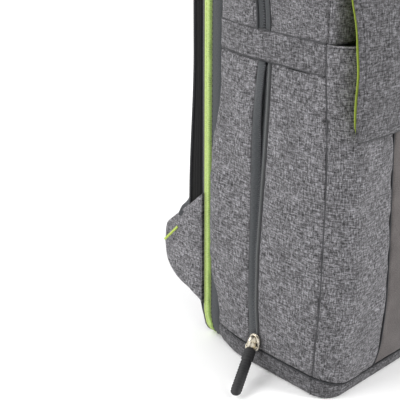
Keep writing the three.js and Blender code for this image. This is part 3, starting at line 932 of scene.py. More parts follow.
def front_s(x):
    """Where the plan line crosses the front at x."""
    return x + HALF - CORNER_RADIUS + FORWARD_STRAIGHT + CORNER_LENGTH


def base_seam(s):
    """The base seam's height, which drops round the corner and stays low on the front."""
    return BASE_Z + 0.0004 - 0.0062 * smooth((s - 0.004) / 0.030)


def corner_bow(z):
    """How far forward of its ends the corner seam runs, as a place on the plan line."""
    belly = 0.0036 * smooth(z / 0.09) * smooth((0.262 - z) / 0.11)
    return 0.0018 + belly - 0.0018 * smooth((z - 0.20) / 0.057)


def fullness(s, z):
    """How far the stuffed body stands out past the plan line."""
    share = smooth((z - BASE_Z) / 0.05)
    corner = math.exp(-(((s - CORNER_AT) / 0.02) ** 2))
    return 0.0004 * share + 0.0006 * share * corner


def body_point(s, z, out=0.0):
    p, n = plan(s)
    p = p + n * (fullness(s, z) + out)
    p.z = z
    return p, n


def side_line(ys, z, out):
    """Points on the side at places along Y and one or more heights, at a depth."""
    return [body_point(SEAM_Y - y, height, out)[0] for y, height in zip(ys, np.broadcast_to(z, len(ys)))]


SIDE_SWELL = 0.0105
SEAM_GAP = 0.0001
SEAM_GROOVE = -0.0008


def side_surface(front_edge, rear_edge, z0, z1, follow_seam=False, over=0.0):
    """A side panel between two edge lines, each of which gives Y at a height. Its rear
    edge may lie a little over the binding behind it."""

    def surface(u, v):
        z = z0 + (z1 - z0) * v
        y0, y1 = front_edge(z), rear_edge(z)
        y = y0 + (y1 - y0) * u
        s = SEAM_Y - y
        bottom = base_seam(s) + 0.0002 if follow_seam else z0
        z = bottom + (z1 - bottom) * v
        swell = max(rear_edge(z) - SIDE_REAR_Y, 0) / SIDE_SWELL
        p, n = body_point(s, z, over * swell * smooth((y - 0.040) / 0.012))
        p.y += side_tuck(y, z)
        return p, n

    return surface


ZIP_FRONT_SEAM = (
    (0.016, 0.031, 0.052, 0.094, 0.135, 0.173, 0.205, 0.237),
    (0.0056, 0.0056, 0.0072, 0.0074, 0.0052, 0.0030, 0.0015, 0.0006),
)
ZIP_REAR_SEAM = (
    (0.016, 0.038, 0.059, 0.188, 0.207, 0.237),
    (0.0146, 0.0154, 0.0166, 0.0166, 0.0152, 0.0118),
)
ZIP_MIDDLE_Z = 0.13


def zip_seam(z, front):
    """Where a seam of the bottle pocket's zip is along Y."""
    return float(np.interp(z, *(ZIP_FRONT_SEAM if front else ZIP_REAR_SEAM)))


def side_rear_edge(z):
    """The side's rear seam, which swells over the binding at half height."""
    return SIDE_REAR_Y + SIDE_SWELL * smooth((z - 0.022) / 0.055) * smooth((0.215 - z) / 0.08)


def slot_edge(z, front):
    """The bottle slot's edge: shut at its slider and at its top, and hanging open between."""
    front_edge = zip_seam(z, True) + 0.0019
    return front_edge if front else max(zip_seam(z, False) - 0.0066, front_edge + 0.0008)


def slot_gape(z):
    """The share of its widest that the bottle slot hangs open at a height."""
    return smooth((z - 0.03) / 0.06) * smooth((0.225 - z) / 0.06)


def hermite(t, a, a_slope, b, b_slope):
    """A cubic from a to b, with the slopes at its ends."""
    from_a = (2 * t**3 - 3 * t**2 + 1) * a + (t**3 - 2 * t**2 + t) * a_slope
    return from_a + (3 * t**2 - 2 * t**3) * b + (t**3 - t**2) * b_slope


PIPING_KNOTS = (
    (0.0080, 0.0950), (0.0120, 0.0920), (0.0170, 0.0890), (0.0280, 0.0858), (0.0600, 0.0838),
    (0.0900, 0.0846), (0.1300, 0.0872), (0.1900, 0.0912), (0.2570, 0.0950),
)


def piping_x(z):
    """How far the pocket's piping is from the middle at a height."""
    last = len(PIPING_KNOTS) - 1
    i = int(np.clip(np.searchsorted([k[0] for k in PIPING_KNOTS], z) - 1, 0, last - 1))
    a, b, c, d = (PIPING_KNOTS[int(clamp(i + k, 0, last))] for k in (-1, 0, 1, 2))
    span = c[0] - b[0]
    slopes = [(q[1] - p[1]) / max(q[0] - p[0], 1e-6) * span for p, q in ((a, c), (b, d))]
    return hermite(clamp((z - b[0]) / span), b[1], slopes[0], c[1], slopes[1])


def side_panels():
    top = BAND_LOW - 2 * SEAM_GAP
    height = top - BASE_Z

    def front_seam(z):
        return SEAM_Y + SEAM_GAP - corner_bow(z)

    surface = side_surface(front_seam, lambda z: zip_seam(z, True) - SEAM_GAP, BASE_Z, top, True)
    front = Panel("side_front_left", surface, zip_seam(ZIP_MIDDLE_Z, True) - SEAM_Y, height)
    piece = front.crown(0.0006).blown(2.0, 0.012, 0.0018).sewn(seed=1.0)
    both_sides(piece, "shell", "heather_fabric", "side_panel_front")
    surface = side_surface(lambda z: zip_seam(z, False) + SEAM_GAP, side_rear_edge, BASE_Z, top, True, 0.0024)
    rear = Panel("side_rear_left", surface, SIDE_REAR_Y - zip_seam(ZIP_MIDDLE_Z, False), height)
    piece = rear.crown(0.0008).blown(2.5, 0.016, 0.0022).sewn(seed=2.0, waves=1.5)
    both_sides(piece, "shell", "heather_fabric", "side_panel_rear")
    surface = side_surface(front_seam, lambda z: SIDE_REAR_Y, BAND_LOW + SEAM_GAP, BAND_HIGH + 0.0006)
    size = (SIDE_REAR_Y - SEAM_Y, BAND_HIGH - BAND_LOW)
    # The band's heather is painted darker than the side panels, as shade.
    band = Panel("side_band_left_fabric", surface, *size, "heather_painted_band_shade", pitch=0.005)
    piece = band.crown(0.0006).blown(1.5, 0.01, 0.0012).sewn(seed=3.0, tuck=0.0011)
    both_sides(piece, "shell", "heather_fabric", "side_band")


def side_seams():
    """Dark cords at the bottom of the side's seam grooves: partly seam thread, partly painted shade that
    darkens the grooves.
    """
    heights = np.linspace(base_seam(0.0), BAND_HIGH, 70)
    corner = [body_point(corner_bow(z), z, -0.0010)[0] for z in heights]
    both_pipings("corner_seam_left", corner, 0.0006, "dark_thread", "heather_fabric", sides=6)
    along = np.linspace(SEAM_Y + 0.0003, SIDE_REAR_Y - 0.0004, 40)
    heights = np.linspace(BASE_Z + 0.001, BAND_LOW, 60)
    for name, route in (
        ("band_seam_low_left", side_line(along, BAND_LOW, SEAM_GROOVE)),
        ("band_seam_high_left", side_line(along, BAND_HIGH + 0.0008, SEAM_GROOVE)),
        ("zip_seam_front_left", side_line([zip_seam(z, True) for z in heights], heights, SEAM_GROOVE)),
        ("zip_seam_rear_left", side_line([zip_seam(z, False) for z in heights], heights, SEAM_GROOVE)),
    ):
        both_pipings(name, route, 0.0005, "dark_thread", "heather_fabric", sides=6)


TAPE_SHARES = (0.0, 0.12, 0.5, 0.85, 1.0)
TAPE_LIFTS = (-0.0007, 0.0004, 0.0008, 0.0007, 0.0003)
TAPE_THICK = 0.0009


def slot_tape(name, front, finish):
    """One tape of the bottle pocket's zip, from its seam to the slot's edge."""
    heights = np.linspace(BASE_Z + 0.0008, BAND_LOW - 0.0004, 60)
    rings = []
    for z in heights:
        seam_y = zip_seam(z, front)
        outer, inner = [], []
        for share, lift in zip(TAPE_SHARES, TAPE_LIFTS):
            s = SEAM_Y - seam_y - (slot_edge(z, front) - seam_y) * share
            sag = 0.0 if front else -0.0035 * share * slot_gape(z)
            outer.append(body_point(s, z, lift + sag)[0])
            inner.append(body_point(s, z, lift - TAPE_THICK + sag)[0])
        rings.append(outer + inner[::-1])
    around = [0.0015 * k for k in range(len(rings[0]))]
    return loft(name, rings, heights, around, finish)


def bottle_zip():
    heights = np.linspace(BASE_Z + 0.012, BAND_LOW - 0.002, 70)
    for label, front, finish in (("front", True, "pale_tape"), ("rear", False, "charcoal")):
        tape = slot_tape("bottle_tape_%s_left" % label, front, finish)
        both_sides(tape, "shell", "charcoal_tape", "bottle_zip_tape_" + label)
        centres = []
        for z in heights:
            sag = 0.0 if front else -0.0029 * slot_gape(z)
            centres.append(body_point(SEAM_Y - slot_edge(z, front), z, 0.0004 + sag)[0])
        facing = [LEFTWARD] * len(centres)
        coil = teeth("bottle_coil_%s_left" % label, centres, facing, "coil", 0.0015, 0.0009)
        both_sides(coil, "shell", "charcoal_tape")


def arc(cx, cy, radius, angles):
    """Points round a centre at angles in degrees."""
    turned = [math.radians(a) for a in angles]
    return [(cx + radius * math.cos(a), cy + radius * math.sin(a)) for a in turned]


def pouch():
    """The bottle pouch: a soft sleeve from one tape's edge round to the other."""
    lo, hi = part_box("bottle_pouch_left")
    x0, x1 = lo.x + 0.0012, hi.x - 0.001
    y0, y1 = lo.y + 0.001, hi.y - 0.001
    near, far = 0.012, 0.022
    outline = [(x0, 0.0), (x0 + 0.0005, y0 + far * 0.5)]
    outline += arc(x0 + near, y0 + near, near, range(180, 271, 15))
    outline += arc(x1 - far, y0 + far, far, range(270, 361, 15))
    outline += arc(x1 - far, y1 - far, far, range(0, 91, 15))
    outline += [(x0 + 0.014, y1), (x0 + 0.0065, y1 - 0.004), (x0 + 0.003, 0.0240), (x0 + 0.0014, 0.0170)]
    levels = np.linspace(lo.z, hi.z, 26)
    points, uvs = [], []
    for z in levels:
        for (x, y), s in zip(outline, lengths_of(outline)):
            ease = noise.noise(Vector((x * 40, y * 40, z * 18))) * 0.0012 * clamp((x - x0) / 0.02)
            points.append(Vector((x + ease, y + ease * 0.6, z)))
            uvs.append((s, z))
    faces = grid_faces(len(levels), len(outline))
    faces += [face[-1:] + face[:-1] for face in caps(len(levels), len(outline))]
    piece = build("bottle_pouch_lining_left", points, faces, uvs, ("lining",))
    modified(piece, "SOLIDIFY", thickness=0.0008, offset=0)
    both_sides(piece, "shell", "inner_lining", "bottle_pouch")


def pocket_wrap(top):
    def surface(u, v):
        z = BASE_Z + (top - BASE_Z) * v
        for _ in range(2):
            s0, s1 = corner_bow(z) + SEAM_GAP, front_s(-piping_x(z) - 0.0004)
            s = s0 + (s1 - s0) * u
            bottom = base_seam(s) + 0.0002
            z = bottom + (top - bottom) * v
        return body_point(s, z)

    panel = Panel("pocket_wrap_fabric_left", surface, front_s(-0.079), top - BASE_Z)
    piece = panel.crown(0.0008, 0.45).blown(2.5, 0.014, 0.0020).sewn(seed=4.0, waves=0.7)
    both_sides(piece, "shell", "heather_fabric", "pocket_wrap")


def pocket_centre(bottom, top):
    def surface(u, v):
        z = bottom + (top - bottom) * v
        x = (piping_x(z) - 0.0006) * (2 * u - 1)
        return Vector((x, FRONT_Y - fullness(front_s(-abs(x)), z), z)), FORWARD

    panel = Panel("pocket_centre_fabric", surface, 0.158, top - bottom, "taupe", pitch=0.008)
    piece = panel.crown(0.0012, 0.4).blown(2.5, 0.006, 0.0025).sewn(seed=5.0, waves=0.8, pucker=0.25)
    place(piece, "shell", "taupe_fabric", "pocket_centre_panel")


def pocket():
    top = BAND_HIGH - 0.0002
    bottom = base_seam(front_s(0.0)) + 0.0006
    pocket_wrap(top)
    pocket_centre(bottom, top)
    heights = np.linspace(bottom - 0.0004, top, 80)
    route = [body_point(front_s(-piping_x(z)), z, -0.0001)[0] for z in heights]
    both_pipings("pocket_piping_cord_left", route, 0.0007, "dark_cord", "charcoal_tape", "pocket_piping")
    # The hem cord is a thin pale line: a painted highlight along the pocket's top edge.
    places = np.linspace(corner_bow(top) + 0.0012, front_s(0.0), 120)
    hem = [body_point(s, top + 0.0006, -0.0002)[0] for s in places]
    both_pipings("pocket_hem_left", hem, 0.0006, "heather_pale", "heather_fabric")


def plan_rows(count_side=34):
    """The base's plan line: points, outward directions and s, from the left rear corner
    forward, over the front and back along the right."""
    corner_s = FORWARD_STRAIGHT + CORNER_LENGTH
    s_values = list(np.linspace(SEAM_Y - SIDE_REAR_Y, 0, count_side)[:-1])
    s_values += list(np.linspace(0, corner_s, 16)[:-1])
    s_values += list(np.linspace(corner_s, front_s(0), 26))
    left = [(*plan(s), s) for s in s_values]
    mirror = Matrix.Diagonal((-1, 1, 1))
    return left + [(mirror @ p, mirror @ n, s) for p, n, s in reversed(left[:-1])]


PAN_WALL = 0.003
PAN_FLOOR_Z = 0.0041


def pan_levels(seam_z):
    """The base pan's section, from its underside up the outside, over the rim and down
    inside, as heights and how far in from the plan line they lie."""
    return (
        (0.0, 0.0075), (0.0, 0.0030), (0.0007, 0.0012), (0.0024, 0.0002), (0.0060, -0.0006),
        (seam_z * 0.72, -0.0007), (seam_z - 0.0012, -0.0001), (seam_z - 0.0002, 0.0010),
        (seam_z - 0.0008, PAN_WALL), (PAN_FLOOR_Z, PAN_WALL),
    )


def base_pan():
    rows = plan_rows()
    rear_half = HALF - lean(SIDE_REAR_Y) - 0.004
    for x in np.linspace(rear_half, -rear_half, 40):
        rows.append((Vector((x, SIDE_REAR_Y, 0)), BACKWARD, SEAM_Y - SIDE_REAR_Y))
    run = lengths_of([p for p, _, _ in rows], closed=True)
    sections = [pan_levels(base_seam(s)) for _, _, s in rows]
    points, uvs = [], []
    for level in zip(*sections):
        for (p, n, _), (z, inset), u in zip(rows, level, run):
            ripple = noise.noise(Vector((u * 30, z * 60, 3))) * 0.0004
            made = p - n * (inset - (ripple if 0.001 < z < 0.014 else 0))
            made.z = z
            made.y += side_tuck(p.y, z)
            points.append(made)
            uvs.append((u, z + inset))
    count = len(sections[0])
    faces = grid_faces(count, len(rows), wrap_columns=True) + caps(count, len(rows))
    # The base pan is painted darker than the sides, as shade low on the bag.
    pan = build("base_fabric", points, faces, uvs, ("heather_base",), wrap=run[-1])
    place(pan, "shell", "heather_fabric", "base_pan")


def base():
    base_pan()
    route = []
    for p, n, s in plan_rows():
        q = p - n * 0.0002
        route.append(Vector((q.x, q.y + side_tuck(q.y, 0.0), base_seam(s))))
    piping("base_piping_cord", route, 0.0006, "dark_cord", "shell", "charcoal_tape", "base_piping")
    # A dark cord in the base's corner seam: partly seam thread, partly painted shade in the groove.
    seam = []
    for z in np.linspace(0.0016, base_seam(0) - 0.0006, 8):
        p, n = plan(corner_bow(z))
        q = p + n * 0.0004
        seam.append(Vector((q.x, q.y, z)))
    both_pipings("base_corner_seam_left", seam, 0.0004, "dark_thread", "heather_fabric", sides=6)


# ---- The upper body ----


def arch_width(z, half=HALF, top=TOP_Z, radius=TOP_RADIUS):
    rise = z - (top - radius)
    if rise <= 0:
        return half
    return half - radius + math.sqrt(max(radius**2 - rise**2, 0))


def arch_height(v, bottom, top, radius):
    """Height at share v of the way up the side and round the top corner."""
    straight = top - radius - bottom
    run = v * (straight + radius * math.pi / 2)
    if run <= straight:
        return bottom + run
    return bottom + straight + radius * math.sin((run - straight) / radius)


def relay(piece, flat):
    """Lays a piece's weave out again, from flat coordinates of its points."""
    set_weave(piece.data, flat[loop_points(piece.data)])


def upper_front(seam_y):
    """The front above the pocket, behind the pocket's mouth. It falls back a little more
    towards the top."""
    bottom = BAND_HIGH + 0.0004
    low_face, high_face = PANEL_Y - 0.0030, PANEL_Y - 0.0004
    low_roll, high_roll = 0.0110, 0.0085

    def shape(z):
        """The panel's depth at a height, and how far in from its edge it reaches that."""
        share = smooth((z - bottom) / 0.085)
        face = low_face + (high_face - low_face) * share
        return abs(face - seam_y), low_roll + (high_roll - low_roll) * share

    def surface(u, v):
        z = arch_height(v, bottom, TOP_Z, TOP_RADIUS)
        w = arch_width(z)
        x = w * (2 * u - 1)
        full, roll = shape(z)
        side_gap = (w - abs(x)) * (0.75 if z > TOP_Z - TOP_RADIUS else 1.0)
        share = min(min(side_gap, TOP_Z - z) / roll, 1)
        sideways = math.copysign(1 - share, x) if side_gap <= TOP_Z - z else 0
        n = Vector((sideways, -max(share, 0.15), 0))
        return Vector((x, seam_y - full * circle(share), z)), n.normalized()

    height = TOP_Z - TOP_RADIUS - bottom + TOP_RADIUS * math.pi / 2
    panel = Panel("upper_front_fabric", surface, 2 * HALF, height, pitch=0.0075)
    piece = panel.sewn(seed=6.0, waves=0.8, tuck=0.0012)
    points = coordinates(piece.data)
    flat = points[:, [0, 2]].copy()
    for i, (x, y, z) in enumerate(points):
        back = y - (seam_y - shape(z)[0])
        if arch_width(min(z, TOP_Z)) - abs(x) < TOP_Z - z:
            flat[i, 0] += math.copysign(back, x)
        else:
            flat[i, 1] += back
    relay(piece, flat)
    place(piece, "shell", "heather_fabric", "front_body_panel")
    # The seam cord is dark heather: a painted shade line along the upper front's seam.
    route = [Vector((x - nx * 0.0012, seam_y + 0.0002, z - nz * 0.0012)) for x, z, nx, nz in ARCH]
    piping("upper_front_seam", route, 0.0006, "heather_base", "shell", "charcoal_tape", sides=6)


def zip_swing(z):
    """How far the main zip runs forward at its two lower ends."""
    return -0.0064 * smooth((0.312 - z) / 0.052)


def arch_point(t, y, out=0.0, swing=1.0):
    """A point at share t of the arch. swing is its share of the zip's forward run."""
    f = t * (len(ARCH) - 1)
    i = min(int(f), len(ARCH) - 2)
    x, z, nx, nz = ARCH[i] + (ARCH[i + 1] - ARCH[i]) * (f - i)
    n = Vector((nx, 0, nz)).normalized()
    y += swing * zip_swing(z)
    return Vector((x, y, z)) + n * (out - lean(y)), n


def arch_line(y, out, start, end, count):
    """Points and outward directions along the main zip."""
    return zip(*[arch_point(t, y, out) for t in np.linspace(start, end, count)])


ARCH_LENGTH = float(lengths_of(ARCH[:, :2])[-1])


def gusset(name, y0, y1, node, seed, front):
    def surface(u, v):
        return arch_point(v, y0 + (y1 - y0) * u, 0.0, u if front else 1 - u)

    panel = Panel(name, surface, y1 - y0, ARCH_LENGTH, pitch=0.006)
    piece = panel.crown(0.0012).blown(1.5, 0.008, 0.0015).sewn(seed=seed, waves=0.7, tuck=0.0013)
    place(piece, "shell", "heather_fabric", node)


def arch_strip(name, section, finish):
    """A strip swept over the arch. section holds points of y and how far out they are."""
    shares = np.linspace(0, 1, 120)
    rings = [[arch_point(t, y, out)[0] for y, out in section] for t in shares]
    return loft(name, rings, shares * ARCH_LENGTH, lengths_of(section, closed=True), finish)


def upper_body():
    seam_y = SEAM_Y - 0.0002
    upper_front(seam_y)
    wide, half_gap = 0.0012, 0.0003
    front_y, rear_y = MAIN_TAPE[0] - wide, MAIN_TAPE[1] + wide
    gusset("upper_gusset_front_fabric", seam_y + 0.0002, front_y, "upper_gusset_front", 7.0, True)
    gusset("upper_gusset_rear_fabric", rear_y, SIDE_REAR_Y - 0.0002, "upper_gusset_rear", 8.0, False)
    front = rolled(front_y, MAIN_ZIP_Y - half_gap, -0.0006, -0.0010, 0.0010, 0.0002)
    rear = rolled(MAIN_ZIP_Y + half_gap, rear_y, -0.0010, -0.0006, 0.0010, 0.0002)
    for label, y, radius, section, stitch_y in (
        ("front", front_y, 0.0006, front, front_y - 0.0028),
        ("rear", rear_y, 0.0010, rear, rear_y + 0.0030),
    ):
        edge, _ = arch_line(y, -0.0004, 0.0, 1.0, 150)
        piping("main_zip_edge_" + label, edge, radius, "dark_cord", "shell", "charcoal_tape")
        tape = arch_strip("main_tape_%s_cloth" % label, section, "charcoal")
        place(tape, "shell", "charcoal_tape", "main_zip_tape_" + label)
        line, facing = arch_line(stitch_y, 0.0004, 0.01, 0.99, 150)
        made = stitches("main_zip_stitch_" + label, line, facing, "dark_thread")
        place(made, "shell", "heather_fabric")
    centres, facing = arch_line(MAIN_ZIP_Y, -0.0009, 0.0, 1.0, 160)
    coil = teeth("main_zip_coil", centres, facing, "coil", 0.0017, 0.0010)
    place(coil, "shell", "charcoal_tape")


# ---- The rear zip and the rear panel ----


def lime_zip(rows):
    """The rear zip's two tapes, the coil's two halves and the stitches beside them."""
    facing = [Vector((nx, 0, nz)) for _, _, nx, nz in rows]
    s0, s1 = depths("rear_zip_tape_shell")
    p0, p1 = depths("rear_zip_tape_panel")
    shell = rolled(s0 + 0.0021, s1 - 0.0005, 0.0001, -0.0003, 0.0016, 0.0001)
    panel = rolled(p0 + 0.0005, p1 + 0.0019, -0.0003, 0.0001, 0.0016, 0.0001)
    shell_stitch = (BINDING_Y[1] + 0.0008, 0.0009, "dark_thread", "charcoal_tape")
    panel_stitch = (p1 - 0.0004, 0.0003, "lime_thread", "lime_fabric")
    for label, body, section, opened, coil_y, across, stitch in (
        ("shell", "shell", shell, False, s1 - 0.0001, BACKWARD, shell_stitch),
        ("panel", "rear_panel", panel, True, p0 + 0.0001, FORWARD, panel_stitch),
    ):
        tape = ring_strip("rear_lime_tape_" + label, section, "lime", opened)
        place(tape, body, "lime_fabric", "rear_zip_tape_" + label)
        centres = [on_ring(r, coil_y, 0.0001) for r in rows]
        coil = teeth("rear_coil_" + label, centres, facing, "lime_coil", 0.0016, 0.0009, 0.0005, across)
        place(coil, body, "lime_fabric")
        y, out, finish, slot = stitch
        line = [on_ring(r, y, out) for r in rows]
        made = stitches("rear_zip_stitch_" + label, line, facing, finish, radius=0.00022)
        place(made, body, slot)


def rear_zip():
    rows = ring_rows(True)
    y0, y1 = BINDING_Y
    section = rolled(y0, y1 + 0.0024, 0.0001, 0.0004, 0.0022, 0.0008, 0.0008)
    binding = ring_strip("rear_binding_tape", section, "charcoal")
    place(binding, "shell", "charcoal_tape", "rear_binding")
    lime_zip(rows)
    g0, g1 = GUSSET_Y
    section = rolled(g0 + 0.0024, g1, -0.0002, -0.0004, 0.0022, 0.0008, 0.0007)
    swing = [1, 1, 0.75, 0.5, 0.25, 0, 0, 0, 0.5, 1]
    strip = ring_strip("rear_gusset_mesh", section, "mesh", True, swing, [1 - s for s in swing])
    place(strip, "rear_panel", "black_mesh", "rear_gusset")
    line = [on_ring(r, g0 + 0.0019, -0.0004) for r in rows]
    piping("rear_gusset_edge", line, 0.0010, "pale_tape", "rear_panel", "charcoal_tape")
    lo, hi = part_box("rear_floor")
    hi.x = RING_HALF - REAR_LOW_RADIUS + 0.006
    lo.x = -hi.x
    floor_strip = flat_plate("rear_floor_cloth", lo, hi, "charcoal", 0.0009, 0.0006)
    place(floor_strip, "shell", "black_mesh", "rear_floor")


def flat_plate(name, lo, hi, finish, radius, ripple):
    """A thin flat strip between two corners, with rounded edges and a slight ripple."""
    size = hi - lo
    shares = []
    for length in (size.x, size.y):
        pieces = max(int(length / 0.006), 3)
        shares.append(steps(length, length / pieces, (0.0, radius * 0.4, radius)))
    points, uvs = [], []
    for top in (False, True):
        for b in shares[1]:
            for a in shares[0]:
                x, y = a * size.x, b * size.y
                gap = min(x, size.x - x, y, size.y - y)
                drop = radius * (1 - circle(min(gap / radius, 1)))
                p = Vector((lo.x + x, lo.y + y, 0))
                p.z = noise.noise(p * 60) * ripple + (hi.z - drop if top else lo.z + drop)
                points.append(p)
                uvs.append((x, y))
    return build(name, points, slab_faces(len(shares[1]), len(shares[0])), uvs, (finish,))


def ring_width(z, inset=0.0):
    """Half the width of the rear outline at a height, or of one that lies inside it."""
    radius = REAR_LOW_RADIUS - inset
    drop = RING_LOW + inset + radius - z
    if drop > 0:
        return RING_HALF - inset - radius + math.sqrt(max(radius**2 - drop**2, 0))
    return arch_width(z, RING_HALF - inset, RING_TOP - inset, RING_TOP_RADIUS - inset)


def ring_height(v, inset=0.0):
    """Height at share v of the way up the outline's side, low corner and top corner included."""
    low_r, top_r = REAR_LOW_RADIUS - inset, RING_TOP_RADIUS - inset
    z0, z1 = RING_LOW + inset, RING_TOP - inset
    straight = z1 - z0 - low_r - top_r
    run = v * (straight + (low_r + top_r) * math.pi / 2)
    if run < low_r * math.pi / 2:
        return z0 + low_r - low_r * math.cos(run / low_r)
    run -= low_r * math.pi / 2
    if run < straight:
        return z0 + low_r + run
    return z1 - top_r + top_r * math.sin(min((run - straight) / top_r, math.pi / 2))


def ring_sheet(name, y, finish, seed=0.0, inset=0.0, thick=0.0010, outward=1, roll=0.0, waves=0.6):
    """A sheet that fills the rear outline at a distance back. roll is how far in from its
    edge it starts to fall forward."""

    def surface(u, v):
        z = ring_height(v, inset)
        w = ring_width(z, inset)
        x = w * (2 * u - 1)
        drop = 0.0
        if roll:
            gap = min(w - abs(x), RING_TOP - inset - z, z - RING_LOW - inset)
            drop = edge_drop(z) * (1 - circle(clamp(gap / roll)))
        return Vector((x, y - drop, z)), Vector((0, outward, 0))

    size = (2 * (RING_HALF - inset), RING_TOP - RING_LOW - 2 * inset)
    panel = Panel(name, surface, *size, finish, pitch=0.009)
    piece = panel.sewn(thick=thick, seed=seed, waves=waves, tuck=0.0004, pucker=0.15)
    relay(piece, coordinates(piece.data)[:, [0, 2]])
    return piece


def rear_panel():
    cover = ring_sheet("rear_cover_cloth", COVER_Y, "heather", seed=11.0, roll=0.014)
    place(cover, "rear_panel", "heather_fabric", "rear_cover")
    inset = 0.0085
    line = []
    for x, z, nx, nz in [*REAR_RING, REAR_RING[0]]:
        line.append(Vector((x - nx * inset, COVER_Y + 0.0001 - 0.09 * edge_drop(z), z - nz * inset)))
    row = stitches("rear_cover_stitch", line, [BACKWARD] * len(line), "thread")
    place(row, "rear_panel", "heather_fabric")
    route = [Vector((x, COVER_Y - 0.0006 - edge_drop(z), z)) for x, z, _, _ in ring_rows(True, 1.0)]
    piping("rear_cover_piping", route, 0.0011, "dark_cord", "rear_panel", "charcoal_tape")
    y0, y1 = depths("rear_board")
    board = ring_sheet("rear_board_sheet", y1, "board", inset=0.0035, thick=y1 - y0, waves=0.05)
    for polygon in board.data.polygons:
        polygon.material_index = 0
    place(board, "rear_panel", "stiffener_board", "rear_board")
    y0, _ = depths("rear_lining")
    lining = ring_sheet("rear_lining_cloth", y0, "lining", 13.0, 0.0062, 0.0012, -1, waves=0.9)
    place(lining, "rear_panel", "inner_lining", "rear_lining")


LINING_THICK = 0.0006
LINING_FLOOR_Z = 0.0046
LINING_INSET = 0.0052
LINING_COUNTS = (14, 4, 30, 9, 16)


def body_lining(rows):
    """The lining inside the side walls, the top and the floor."""
    y_values = np.linspace(SEAM_Y + 0.003, BINDING_Y[1] - 0.0012, 12)
    run = lengths_of(rows[:, :2], closed=True)
    points, uvs = [], []
    for (x, z, nx, nz), s in zip(rows, run):
        for y in y_values:
            shift = noise.noise(Vector((x * 25, y * 25, z * 25))) * 0.0010 + lean(y)
            p = Vector((x - nx * shift, y + side_tuck(y, z, 0.025, 0.028), z - nz * shift))
            if nz < -0.5:
                p.z = max(p.z, LINING_FLOOR_Z)
            points.append(p)
            uvs.append((s, y))
    faces = grid_faces(len(rows), len(y_values), wrap_rows=True)
    piece = build("body_lining", points, faces, uvs, ("lining",), wrap=run[-1], closed=False)
    place(modified(piece, "SOLIDIFY", thickness=LINING_THICK), "shell", "inner_lining")


def front_lining(rows):
    """The lining that hangs behind the front, inside the mouth."""
    y = SEAM_Y - 0.0018
    centre = Vector((0, y, 0.2))
    points = []
    shares = (1.0, 0.92, 0.7, 0.4, 0.12)
    for share in shares:
        for x, z, _, _ in rows:
            q = centre.lerp(Vector((x * 0.997, y, z)), share)
            q.y += noise.noise(q * 20) * 0.0012
            points.append(q)
    faces = grid_faces(len(shares), len(rows), wrap_columns=True)
    faces.append(caps(len(shares), len(rows))[1])
    uvs = [(p.x, p.z) for p in points]
    wall = build("front_wall_lining", points, faces, uvs, ("lining",), closed=False)
    place(modified(wall, "SOLIDIFY", thickness=LINING_THICK), "shell", "inner_lining")


def inner_lining():
    inset = LINING_INSET
    rows = round_line(HALF - inset, inset, TOP_Z - inset, TOP_RADIUS - inset, 0.010, LINING_COUNTS)
    body_lining(rows)
    front_lining(rows)
    board = flat_plate("base_board_sheet", *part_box("base_board"), "board", 0.0008, 0.0)
    place(board, "shell", "stiffener_board", "base_board")


# ---- The flap ----

FLAP_LOW, FLAP_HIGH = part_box("flap_lining")
FLAP_HALF, FLAP_TOP = FLAP_HIGH.x, FLAP_HIGH.z
FLAP_LENGTH = FLAP_TOP - FLAP_LOW.z
FLAP_HEM_Z = FLAP_LOW.z + 0.0036
FLAP_CORNER = 0.0048
LEAF_LEVELS = (
    (0.60, 1.0, 0.0), (0.25, 1.0, 0.0), (0.012, 1.0, 0.0), (0.0, 0.72, 0.0004), (0.0, 0.5, 0.0007),
    (0.0, 0.28, 0.0004), (0.012, 0.0, 0.0), (0.25, 0.0, 0.0), (0.60, 0.0, 0.0),
)


def flap_point(x, z, out):
    """The flap's face at x and z, standing out by a depth, with soft waves at its hem."""
    down = (FLAP_TOP - z) / FLAP_LENGTH
    out *= 0.45 + 0.55 * smooth(down / 0.06)
    fall = 0.0012 * smooth(down / 0.10) + 0.0138 * smooth((0.326 - z) / 0.085)
    wave = 0.0010 * math.sin(x * 42 + 0.7) + 0.0008 * math.sin(x * 95 + 2.0)
    inner = smooth((FLAP_HALF - abs(x)) / 0.035)
    belly = inner * (0.0016 * smooth(down / 0.15) + 0.0030 * math.sin(math.pi * clamp(down)))
    return Vector((x, FLAP_HIGH.y - out - fall - belly + wave * down * down * 0.6 * inner, z))


def flap_outline(inset, hem_inset, side_inset=lambda z: 0.0):
    """The flap's edge from its hinge down, over the hem and up again, as rows of x, z and
    the outward direction."""
    half = FLAP_HALF - inset
    hem_z = FLAP_HEM_Z + hem_inset
    r = FLAP_CORNER

    def curl(z, seed):
        return side_inset(z) - 0.0004 + 0.0003 * math.sin(z * 190 + seed)

    def corner(x, start):
        angles = np.radians(np.linspace(start, start + 90, 7)[1:-1])
        outward = [(math.cos(a), math.sin(a)) for a in angles]
        return [(x + r * nx, hem_z + r + r * nz, nx, nz) for nx, nz in outward]

    heights = np.linspace(FLAP_TOP, hem_z + r, 40)
    rows = [(-half + curl(z, 0), z, -1, 0) for z in heights]
    corner_x = rows[-1][0] + r
    rows += corner(corner_x, 180)
    for x in np.linspace(corner_x, -corner_x, 44):
        rows.append((x, hem_z + 0.0006 * math.sin(x * 70), 0, -1))
    rows += corner(-corner_x, 270)
    return rows + [(half - curl(z, 2), z, 1, 0) for z in heights[::-1]]


